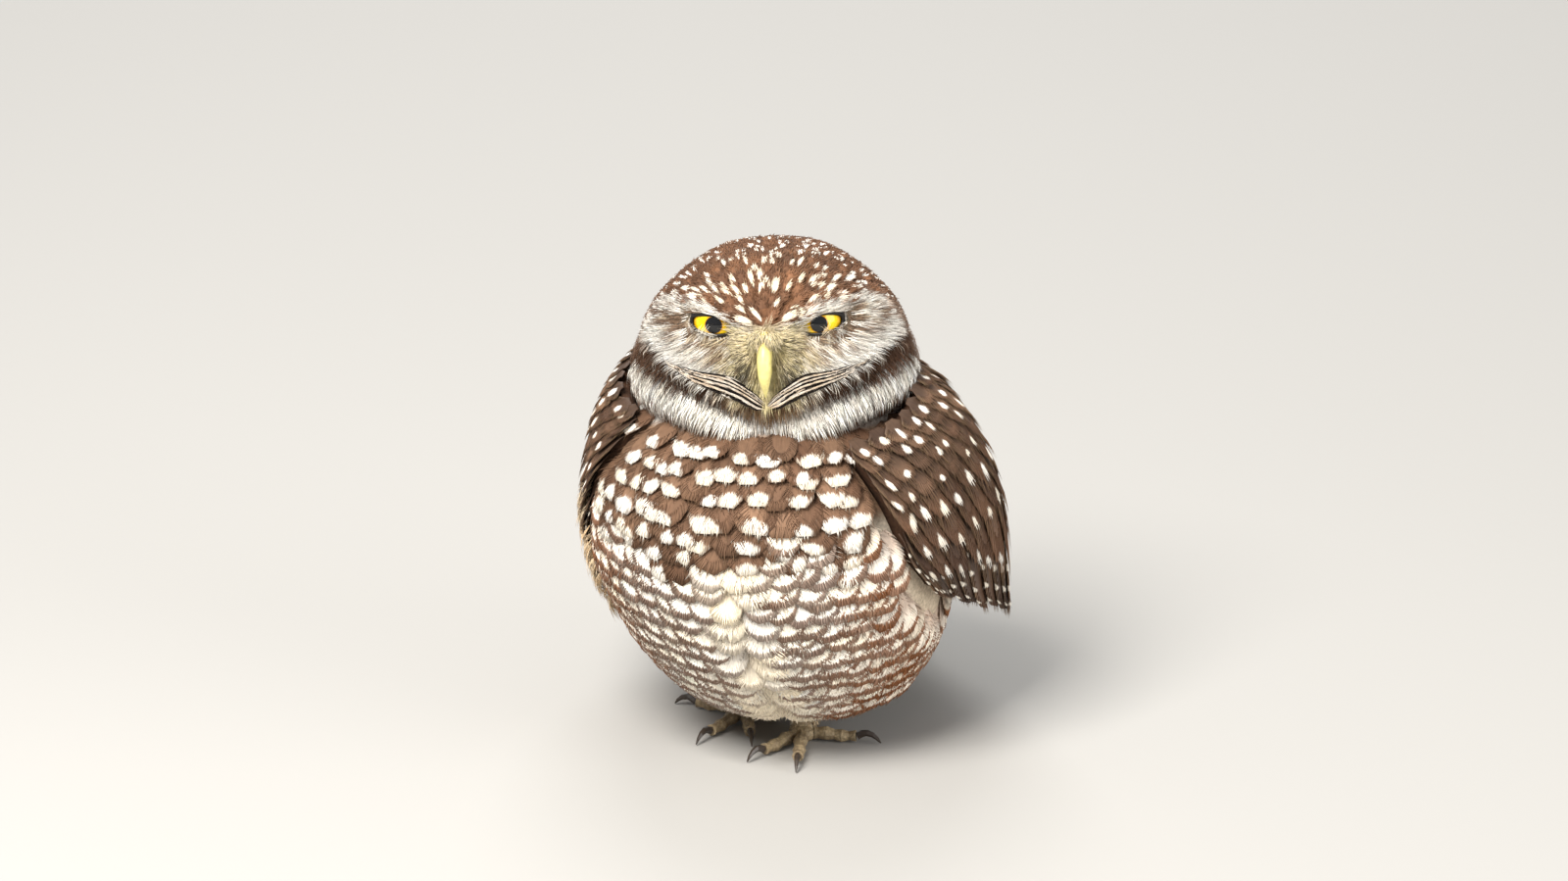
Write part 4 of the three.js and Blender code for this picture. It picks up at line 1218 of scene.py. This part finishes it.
def build_wing(name, side, materials):
    """One folded wing: its covered base, then tiers of flight feathers, coverts and scapulars."""
    covert_vanes, flight_vanes, base_material = materials
    size = 40
    u, v = np.meshgrid(np.linspace(0, 0.93, size), np.linspace(0.02, 0.98, size), indexing="ij")
    p, _, out = wing_frame(side, u, v)
    verts = np.concatenate([(p - out * depth).reshape(-1, 3) for depth in BASE_DEPTHS])
    quads = net_faces(size, size)
    faces = np.concatenate([quads, quads[:, ::-1] + size * size, rim_faces(size, size)])
    if side > 0:
        faces = faces[:, ::-1]
    # Painted shade: the covered base, seen only in the gaps between the feathers, is the darkest brown dimmed
    # further.
    tint = opaque(np.broadcast_to(DARK * 0.8, (len(verts), 3)))
    base = new_mesh(f"wing_base_{name}", verts, faces, {"tint": tint})
    finish_piece(base, base_material, "flight_feathers", f"wing_{name}")
    long_shape = Shape(14, 7, 16, blunt=2.3, reach=0.05, core=0.97, start=0.7, taper=0.8, **LONG_VANE)
    short_shape = Shape(9, 7, 22, blunt=2.3, reach=0.14, core=0.92, start=0.5, thick=0.3, barb_width=0.05)
    shoulder_tint = dark_vane(light=mix(BROWN, SOFT_BROWN, 0.5))
    wing = Wing(name, side)
    wing.rows("flight", flight_vanes, long_shape, (
        (0.50, 1.03, 0.00, 1.00, 13, 0.95, -4.6, -0.6),
        (0.62, 1.00, 0.00, 0.09, 3, 1.3, -3.8, 0.6),
    ), dark_vane(NEARLY_BLACK, BROWN), notches, 0.12)
    wing.rows("coverts", covert_vanes, short_shape, (
        (0.44, 0.84, 0.00, 1.00, 11, 0.80, -4.4, -0.1),
        (0.32, 0.68, 0.00, 1.00, 11, 0.80, -4.0, 0.2),
        (0.21, 0.53, 0.00, 1.00, 11, 0.80, -3.6, 0.4),
    ), dark_vane(), covert_spots(0.92, 1.6, 2.6))
    wing.rows("shoulder", covert_vanes, short_shape, (
        (0.12, 0.41, 0.00, 1.00, 12, 0.80, -3.2, 0.5),
        (0.05, 0.30, 0.00, 1.00, 12, 0.80, -2.9, 0.5),
        (-0.01, 0.20, 0.00, 1.00, 12, 0.80, -2.7, 0.5),
        (-0.07, 0.11, 0.00, 1.00, 11, 0.80, -2.5, 0.4),
    ), shoulder_tint, covert_spots(0.72, 1.25, 1.6, 2.4))
    wing.rows("scapulars", covert_vanes, short_shape, tuple(
        (0.09 * k, 0.09 * k + 0.30, 0.76, 1.04, 4, 0.80, -2.4, 2.0 + 0.1 * k) for k in range(6)
    ), shoulder_tint, covert_spots(0.9, 1.8, 2.5))
    build_primaries(name, side, long_shape, flight_vanes)


def build_primaries(name, side, shape, material):
    """The folded wing's longest feathers, whose tips lie together over the tail's root."""
    count = PRIMARIES
    order = np.arange(count)
    share = order / (count - 1)
    root, _, out = wing_frame(side, np.full(count, 0.68), 0.84 - 0.5 * share)
    root = root - out * (4.4 + 0.5 * order)[:, None]
    first, last = np.array([44, 68, 34.0]), np.array([14, 98, 25.0])
    tip = (first + (last - first) * share[:, None]) * [side, 1, 1]
    end_out = unit(np.array([side * 0.75, 0.45, 0.5]))
    tip = tip - end_out * (0.7 * order)[:, None]
    curves = np.stack([root, (root + tip) / 2 + out * 1.5, tip], 1)
    lay = curving(curves, np.stack([out, np.broadcast_to(end_out, out.shape)], 1))
    half = np.full(count, 6.2)
    bake = vectors(0.1 + 0.8 * share, 0.5)
    marked = notches(count, half, np.random.default_rng(8))
    feathers(f"wing_primaries_{name}", shape, lay, half, lengths(tip - root), dark_vane(NEARLY_BLACK, BROWN),
             bake, material, marked, "flight_feathers", ruffle=0.05, straight=True)


# Rows of the tail's coverts: where each starts and ends along the tail, in lengths of 60 mm, its number of
# feathers and its height over or under the tail feathers.
COVERT_ROWS = ((-0.25, 0.44, 9, 3.0), (-0.12, 0.60, 8, 2.2))
UNDER_ROWS = ((-0.35, 0.45, 8, 6.0), (-0.55, 0.25, 9, 8.0), (-0.7, 0.05, 9, 10.0))
TAIL_FEATHERS = 12


def build_tail(spotted, barred, soft_material):
    """Twelve tail feathers, with their coverts above and the soft undertail coverts below."""
    heading = unit(TAIL_TIP - TAIL_ROOT)
    up = unit(np.cross([1, 0, 0], heading))
    steps = np.arange(TAIL_FEATHERS) - (TAIL_FEATHERS - 1) / 2
    sideways = steps[:, None] * [1.0, 0, 0]
    drop = up * (0.75 * np.abs(steps + 0.25))[:, None]
    root = TAIL_ROOT + 1.6 * sideways - drop
    tip = TAIL_TIP + 2.8 * sideways - drop - heading * (0.35 * np.abs(steps))[:, None]
    out = unit(up + 0.045 * sideways)
    shape = Shape(16, 7, 14, blunt=2.4, reach=0.04, core=0.98, start=0.75, taper=0.84, **LONG_VANE)
    lay = curving(np.stack([root, (root + tip) / 2 + up * 0.8, tip], 1), np.stack([out, out], 1))
    half = np.full(TAIL_FEATHERS, 6.6)
    marked = marks(TAIL_FEATHERS, mix(CREAM, BUFF, 0.4), 0.9, half, 6.0, 0.8 * half, 1.3)
    share = np.arange(TAIL_FEATHERS) / TAIL_FEATHERS
    bake = vectors(0.1 + 0.8 * share, 0.5)
    feathers("tail_feathers", shape, lay, half, lengths(tip - root), dark_vane(edge=0.8), bake, barred,
             marked, "flight_feathers", ("tail",), ruffle=0.04, straight=True)

    def row_curves(rows, across, facing_up):
        made = []
        for start, end, number, height in rows:
            for x in (np.arange(number) - (number - 1) / 2) * across:
                rise = up * (height - 0.012 * x * x) * facing_up
                made.append([TAIL_ROOT + heading * 60 * q + np.array([x * (0.85 + 0.4 * q), 0, 0]) + rise
                             for q in (start, (start + end) / 2, end)])
        return np.array(made)

    soft = Shape(8, 5, 24, reach=0.2, thick=0.25)
    for name, slot, rows, facing_up, material, tint, spots in (
        ("tail_coverts", "flight_feathers", COVERT_ROWS, 1, spotted, dark_vane(light=SOFT_BROWN),
         covert_spots(0.7, 1.3, 1.8)),
        ("tail_under_coverts", "plumage", UNDER_ROWS, -1, soft_material, flat(mix(WHITE, CREAM, 0.5)), None),
    ):
        curves = row_curves(rows, 4.3, facing_up)
        count = len(curves)
        lay = curving(curves, np.broadcast_to(up * facing_up, (count, 2, 3)))
        length = lengths(curves[:, 2] - curves[:, 0])
        marked = spots and spots(count, None, np.random.default_rng(count))
        bake = vectors(0.1 + 0.8 * np.arange(count) / count, 0.3)
        feathers(name, soft, lay, 5.6, length, tint, bake, material, marked, slot, ruffle=0.08)


# Eyes, lids and bill.


def eye_frame(side):
    """An eyeball's centre, and the directions it looks in, from its inner to its outer corner, and up."""
    out, slant = math.radians(EYE_OUTWARD), math.radians(EYE_SLANT)
    ahead = headward([side * math.sin(out), -math.cos(out), 0])
    centre = at_head((EYE_AT - [EYE_INWARD, 0, 0]) * [side, 1, 1]) - EYE_SUNK * ahead
    level = math.cos(slant)
    corners = headward([side * math.cos(out) * level, math.sin(out) * level, math.sin(slant)])
    up = unit(np.cross(corners, ahead) * side)
    return centre, ahead, corners, up


# An eye's opening: its half width, its heights above and below the corners, how far it is lowered, and how
# much higher its outer corner is.
OPENING = {"wide": 6.9, "above": 2.45, "below": 2.8, "lower_by": -0.1, "tilt": 0.2}
# The lids' rings, from the opening out: how far each lies from the opening and from the eyeball.
LID_RINGS = ((0.0, 0.30), (0.10, 0.65), (0.40, 0.95), (0.80, 0.85), (1.1, 0.50), (1.5, 0.35), (2.4, 0.3),
             (3.8, 0.25), (5.0, 0.1))
# The rings that close the lids behind.
LID_BACKS = ((5.0, -1.2), (0.2, 0.08))
LID_BLACK = 0.9
LID_CORNERS = 72
LID_COLOUR = np.array([0.010, 0.008, 0.007])


def opening_outline(grow):
    """An eye's opening seen along its axis: a lens, flatter above than below."""
    a = round_angles(LID_CORNERS)
    above = np.sin(a) > 0
    tall = np.where(above, OPENING["above"], OPENING["below"]) + grow
    tall = tall * np.sign(np.sin(a)) * np.abs(np.sin(a)) ** np.where(above, 0.75, 0.95)
    tall = tall - OPENING["lower_by"] + OPENING["tilt"] * (0.5 + 0.5 * np.cos(a))
    return (OPENING["wide"] + grow) * np.cos(a), tall


def opening(side, grow=0.0):
    """The edge of an eye's opening, as directions from the ball's centre."""
    centre, ahead, corners, up = eye_frame(side)
    wide, tall = opening_outline(grow)
    forward = np.sqrt(np.maximum((EYE_RADIUS + 0.3) ** 2 - wide ** 2 - tall ** 2, 4))
    return centre, unit(ahead * forward[:, None] + corners * wide[:, None] + up * tall[:, None])


def eye_material():
    """A yellow iris with fine spokes round a black pupil, under a wet coat."""
    n = Nodes("eye_wet", 0.05, 0.4)
    n.shader.inputs["Coat Weight"].default_value = 0.35
    n.shader.inputs["Coat Roughness"].default_value = 0.02
    (x, y, _, _), _ = n.attribute("look")
    radius = n.maths("SQRT", n.maths("ADD", n.maths("MULTIPLY", x, x), n.maths("MULTIPLY", y, y)))
    turn = n.maths("MULTIPLY", n.maths("ARCTAN2", y, x), 6.0)
    spokes = n.noise(n.combine(turn, n.maths("MULTIPLY", radius, 0.35), 3.0), 2.5, 3.0)
    black, rim = (0.004, 0.004, 0.005), (0.01, 0.008, 0.006)
    stops = [(0.0, black), (0.310, black), (0.325, srgb(206, 142, 8)), (0.40, srgb(246, 206, 10)),
             (0.66, srgb(250, 214, 18)), (0.80, srgb(214, 160, 8)), (0.88, rim)]
    shade = n.ramp(radius, [(place, tuple(colour)) for place, colour in stops])
    n.paint(shade, n.spread(spokes, 0.25, 0.75, 0.85, 1.12))
    return n.material


def ball(centre, axes, radii, levels, turns, bulge=0.0):
    """A closed ball on three axes, the last of which points at its pole, with each corner's own direction."""
    polar, turn = np.meshgrid(np.linspace(0, np.pi, levels), round_angles(turns), indexing="ij")
    round_it, out = np.sin(polar), 1 + bulge * bell(polar, 0.5)
    own = np.stack([round_it * np.cos(turn), round_it * np.sin(turn), np.cos(polar)], -1)
    p = centre + (own * radii * out[..., None]) @ np.array(axes)
    quads = net_faces(levels, turns, columns_close=True)[:, FLIPPED]
    if np.linalg.det(np.array(axes)) < 0:
        quads = quads[:, ::-1]
    return p.reshape(-1, 3), quads, own.reshape(-1, 3)


def build_eyes():
    """The eyeballs, and round each a closed rim of lids with black edges."""
    iris = eye_material()
    lid = Nodes("lid_skin", 0.5, 0.3)
    lid.link(lid.attribute("tint")[1], lid.shader.inputs["Base Color"])
    lid.bump(lid.noise(lid.place(), 1500, 3.0), 0.5, 0.0002)
    for name, side in SIDES.items():
        centre, ahead, corners, up = eye_frame(side)
        verts, quads, own = ball(centre, (corners, up, ahead), EYE_RADIUS, 48, 64, 0.045)
        look = np.where(own[:, 2:] > 0, own + [0.05, 0.0, 0], 1.0)
        eye = new_mesh(f"eyeball_{name}", verts, quads, {"look": np.concatenate([look, look[:, :1]], 1)})
        finish_piece(eye, iris, "iris", f"eye_{name}")
        rings, colours = [], []
        outer_corner = np.maximum(np.cos(round_angles(LID_CORNERS)), 0) ** 6
        for grow, height in (*LID_RINGS, *LID_BACKS):
            at, direction = opening(side, grow)
            rings.append(at + direction * (EYE_RADIUS + height))
            colours.append(mix(LID_COLOUR, SOFT_BROWN, smooth(grow - 1.6 * outer_corner, 0.9, 1.3)))
        quads = net_faces(len(rings), LID_CORNERS, rows_close=True, columns_close=True)
        if side < 0:
            quads = quads[:, ::-1]
        tint = opaque(np.concatenate(colours))
        rim = new_mesh(f"lids_{name}", np.concatenate(rings), quads, {"tint": tint})
        finish_piece(rim, lid.material, "lid_skin", f"lid_upper_{name}", f"lid_lower_{name}")


def tube(points, sizes, side_axis, sides, steps):
    """A closed tapering bar through points, with a half width and half height at each."""
    t = np.linspace(0, 1, steps)
    line = along(np.asarray(points, float), t)
    size = along(np.asarray(sizes, float), t)
    tangent = unit(np.gradient(line, axis=0))
    across = unit(side_axis - tangent * (tangent @ side_axis)[:, None])
    high = np.cross(tangent, across)
    a = round_angles(sides)
    ring = across[:, None] * (size[:, :1] * np.cos(a))[..., None]
    ring = ring + high[:, None] * (size[:, 1:] * np.sin(a))[..., None]
    verts = (line[:, None] + ring).reshape(-1, 3)
    last = (steps - 1) * sides
    ends = [(j + 1, j, 0) for j in range(1, sides - 1)]
    ends += [(last, last + j, last + j + 1) for j in range(1, sides - 1)]
    return verts, [net_faces(steps, sides, columns_close=True), np.array(ends)], np.repeat(t, sides)


def horn_material(name, root, tip, roughness, grain_scale):
    """Horn, from the colour of its root to that of its tip by the attribute look."""
    n = Nodes(name, roughness, 0.5)
    (share, _, _, _), _ = n.attribute("look")
    grain = n.noise(n.place(), grain_scale, 4.0)
    shade = n.ramp(share, [(0.0, tuple(root)), (1.0, tuple(tip))])
    n.paint(shade, n.spread(grain, *NOISE_MIDDLE, 0.85, 1.1))
    n.bump(grain, 0.25, 0.0002)
    return n.material


def build_bill(bristle_material):
    """The two halves of the bill, its nostrils as dark balls of painted shade, and the bristles round it."""
    horn = horn_material("bill_horn", srgb(208, 190, 96), srgb(238, 226, 150), 0.38, 700)
    side_axis = headward([1, 0, 0])
    for name, line, sizes, sides, steps in (
        ("upper", [[0, -30, 4.6], [0, -38, 4.7], [0, -42.4, 1.4], [0, -43.7, -4.6], [0, -41.2, -11.8]],
         [[2.5, 2.8], [2.4, 2.9], [2.35, 3.0], [2.0, 2.3], [0.25, 0.4]], 28, 48),
        ("lower", [[0, -30, -2.5], [0, -36, -3.6], [0, -39, -6.2], [0, -39.4, -8.6]],
         [[2.1, 1.9], [2.1, 1.8], [1.6, 1.3], [0.5, 0.4]], 20, 24),
    ):
        verts, faces, t = tube(at_head(np.array(line)), sizes, side_axis, sides, steps)
        piece = new_mesh(f"bill_{name}_horn", verts, faces, {"look": np.stack([t] * 4, 1)})
        finish_piece(piece, horn, "bill_horn", f"bill_{name}")
    # The nostrils are dark balls of painted shade, standing in for the shade inside their openings.
    dark = Nodes("nostril_painted_shade", 0.8, 0.1)
    dark.shader.inputs["Base Color"].default_value = (0.01, 0.008, 0.006, 1)
    for name, side in SIDES.items():
        axes = headward(np.eye(3))
        verts, quads, _ = ball(at_head([side * 2.3, -39.7, 3.4]), axes, (0.8, 1.1, 0.9), 12, 20)
        finish_piece(new_mesh(f"nostril_{name}", verts, quads), dark.material, "lid_skin")
    build_bristles(bristle_material)


BRISTLES, BRISTLES_ON_TOP = 760, 170


def build_bristles(material):
    """Pale bristles that spring from round the bill and sweep out over the face and down over its base."""
    count = BRISTLES
    rng = np.random.default_rng(5)
    side = np.where(rng.random(count) < 0.5, 1, -1)
    top = np.arange(count) < BRISTLES_ON_TOP
    z = np.where(top, 6.5 + 3.0 * rng.random(count), 7.0 - 17 * rng.random(count) ** 1.1)
    x = side * np.where(top, 3.2 * rng.random(count), 2.4 + 3.8 * rng.random(count) + 0.10 * (6.5 - z))
    t, angle = head_spot(x, z)
    out = normals_of(head_point, t, angle)
    p = head_point(t, angle) - out * 0.8
    out = np.where(top[:, None], headward(unit(np.array([0, -0.6, 0.8]))), out)
    spread = 0.75 + 0.6 * rng.random(count)
    downward = np.where(top, -0.6, -0.35 - 0.05 * (6.5 - z) + 0.5 * (z > 3))
    flow = vectors(side * np.where(top, 0.25, spread), np.where(top, -0.8, -0.4), downward)
    shape = Shape(0, 0, 5, reach=0.5, barb_width=0.15, thick=0.12, start=0.7)
    lores = bell(np.abs(x) - 5.0, 2.2) * bell(z + 3.5, 4.5)
    tone = mix(BRISTLE, CREAM, rng.random(count))
    tone = mix(tone, srgb(64, 58, 46), 0.9 * (rng.random(count) > 0.84 - 0.9 * lores))
    length = np.where(top, 5.0, 5.6) + 1.0 * rng.random(count)
    lay = lying(p, headward(unit(flow)), out, length, (-0.3, 1.1), 30, rng)
    bake = skin_map(t, angle, *HEAD_MAP)
    feathers("bill_bristles", shape, lay, 0.9, length, flat(tone), bake, material, ruffle=0.35)


# Legs and feet.


LEG_TUFTS = 480


def build_feet(material):
    """Scaled skin and horn on the solid toes, feet, shanks and claws, and short tufts round the legs."""
    skin = Nodes("foot_scales", 0.55, 0.35)
    place = skin.place()
    cells = skin.add("ShaderNodeTexVoronoi", Scale=1100.0)
    skin.link(place, cells.inputs["Vector"])
    tone = skin.noise(place, 260, 3.0)
    shade = skin.ramp(tone, [(0.3, tuple(srgb(140, 120, 94))), (0.7, tuple(srgb(196, 174, 136)))])
    darker = skin.spread(cells.outputs["Distance"], 0.0, 0.6, 1.1, 0.7)
    skin.paint(shade, darker)
    skin.bump(cells.outputs["Distance"], 0.6, 0.0004)
    claw = horn_material("claw_horn", srgb(58, 48, 40), srgb(24, 20, 18), 0.3, 900)
    for node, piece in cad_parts.items():
        kind = node.split("_")[0]
        if kind in ("toe", "foot", "shank", "claw"):
            piece.data.materials.clear()
            piece.data.materials.append(claw if kind == "claw" else skin.material)
    rng = np.random.default_rng(11)
    count = LEG_TUFTS
    shape = Shape(0, 0, 7, reach=0.35, barb_width=0.16, thick=0.12, start=0.6)
    for name, (x, y) in FEET.items():
        z = 3.5 + 22 * rng.random(count) ** 0.8
        a = rng.random(count) * 2 * np.pi
        radius = np.interp(z, [3, 8, 12, 17, 26], [3.0, 3.2, 4.4, 7.0, 12.5])
        back = y + np.interp(z, [3, 26], [0, 9])
        root = vectors(leg_middle(x, z) + radius * np.cos(a), back + radius * np.sin(a), z)
        out = unit(vectors(np.cos(a), np.sin(a), -0.1))
        down = np.broadcast_to([0.0, 0.05, -1.0], (count, 3))
        length = np.interp(z, [3, 8, 26], [2.6, 4.5, 9.0])
        tone = mix(mix(CREAM, BUFF, 0.75 * rng.random(count)), SOFT_BROWN, 0.35 * (rng.random(count) > 0.8))
        lay = lying(root, down, out, length, (-0.4, 0.9), 40, rng)
        bake = skin_map((z - 3) / 30, a, *LEG_MAP)
        half = 0.28 * length
        feathers(f"leg_feathers_{name}", shape, lay, half, length, flat(tone), bake, material, ruffle=0.25)


# Floor, light and camera.


# Each light's azimuth, elevation, size in metres, power in watts and colour.
LIGHTS = {
    "key": (-14, 50, 0.7, 44.0, (1.0, 0.97, 0.93)),
    "fill": (78, 14, 1.0, 14.0, (1.0, 0.99, 0.97)),
    "rim": (200, 45, 0.8, 14.0, (1.0, 1.0, 1.0)),
}


def looking_back(azimuth, elevation):
    """The direction from the bird towards an eye or a light at these angles, in degrees."""
    a, e = math.radians(azimuth), math.radians(elevation)
    return np.array([math.sin(a) * math.cos(e), -math.cos(a) * math.cos(e), math.sin(e)])


FLOOR_HALF = 9
LIGHTS_AT, LIGHTS_AWAY = Vector((0, 0, 0.08)), 1.5


def aim(thing, back):
    """Turns a light or camera to look against the direction back."""
    thing.rotation_mode = "QUATERNION"
    thing.rotation_quaternion = Vector(-back).to_track_quat("-Z", "Y")


def build_stage():
    """A plain floor, soft light from everywhere and three lamps."""
    mesh = bpy.data.meshes.new("floor")
    corners = [(x * FLOOR_HALF, y * FLOOR_HALF, 0) for x, y in ((-1, -1), (1, -1), (1, 1), (-1, 1))]
    mesh.from_pydata(corners, [], [(0, 1, 2, 3)])
    floor = linked("floor", mesh)
    paint = Nodes("floor_paint", 0.8, 0.1)
    paint.shader.inputs["Base Color"].default_value = (0.40, 0.39, 0.37, 1)
    mesh.materials.append(paint.material)
    world = bpy.data.worlds.new("soft_room")
    bpy.context.scene.world = world
    world.use_nodes = True
    world.node_tree.nodes["Background"].inputs[0].default_value = (0.92, 0.93, 0.95, 1)
    world.node_tree.nodes["Background"].inputs[1].default_value = 0.5
    for name, (azimuth, elevation, size, power, colour) in LIGHTS.items():
        lamp = bpy.data.lights.new(name, "AREA")
        lamp.size, lamp.energy, lamp.color = size, power, colour
        light = linked(name, lamp)
        back = Vector(looking_back(azimuth, elevation))
        light.location = LIGHTS_AT + back * LIGHTS_AWAY
        aim(light, back)


# The photo's view: its angles, lens, width and height in pixels, its scale, and where the origin falls in it.
VIEW = {"azimuth": 18, "elevation": 20, "lens": 300, "sensor": 36, "wide": 1600, "high": 899}
PHOTO_MM_PER_PIXEL, ORIGIN_X, ORIGIN_Y = 0.31, 790, 745


def build_camera():
    """A far camera with the photo's view, whose frame has the photo's width."""
    azimuth = math.radians(VIEW["azimuth"])
    back = looking_back(VIEW["azimuth"], VIEW["elevation"])
    right = np.array([math.cos(azimuth), math.sin(azimuth), 0])
    up = np.cross(back, right)
    distance = PHOTO_MM_PER_PIXEL * VIEW["wide"] * VIEW["lens"] / VIEW["sensor"]
    middle = right * (VIEW["wide"] / 2 - ORIGIN_X) + up * (ORIGIN_Y - VIEW["high"] / 2)
    data = bpy.data.cameras.new("camera")
    data.lens, data.sensor_width = VIEW["lens"], VIEW["sensor"]
    data.clip_start, data.clip_end = 0.1, 60
    camera = linked("camera", data)
    camera.location = Vector(to_frame(middle * PHOTO_MM_PER_PIXEL + back * distance))
    aim(camera, back)
    bpy.context.scene.camera = camera


build_camera()
build_stage()
body_material = plume_material("contour_feathers", 0.13)
face_material = plume_material("face_feathers", 0.10)
covert_material = plume_material("covert_vanes", 0.2, 0.6, 0.25)
flight_material = plume_material("flight_vanes", 0.2, 0.55, 0.3, period=7.5)
wing_base_material = skin_material()
build_skin()
build_body_feathers(body_material)
build_flank_fluff(body_material)
build_head_feathers(face_material)
for wing_name, wing_side in SIDES.items():
    build_wing(wing_name, wing_side, (covert_material, flight_material, wing_base_material))
build_tail(covert_material, flight_material, body_material)
build_eyes()
build_bill(face_material)
build_feet(body_material)
bpy.context.scene.view_settings.view_transform = "Standard"
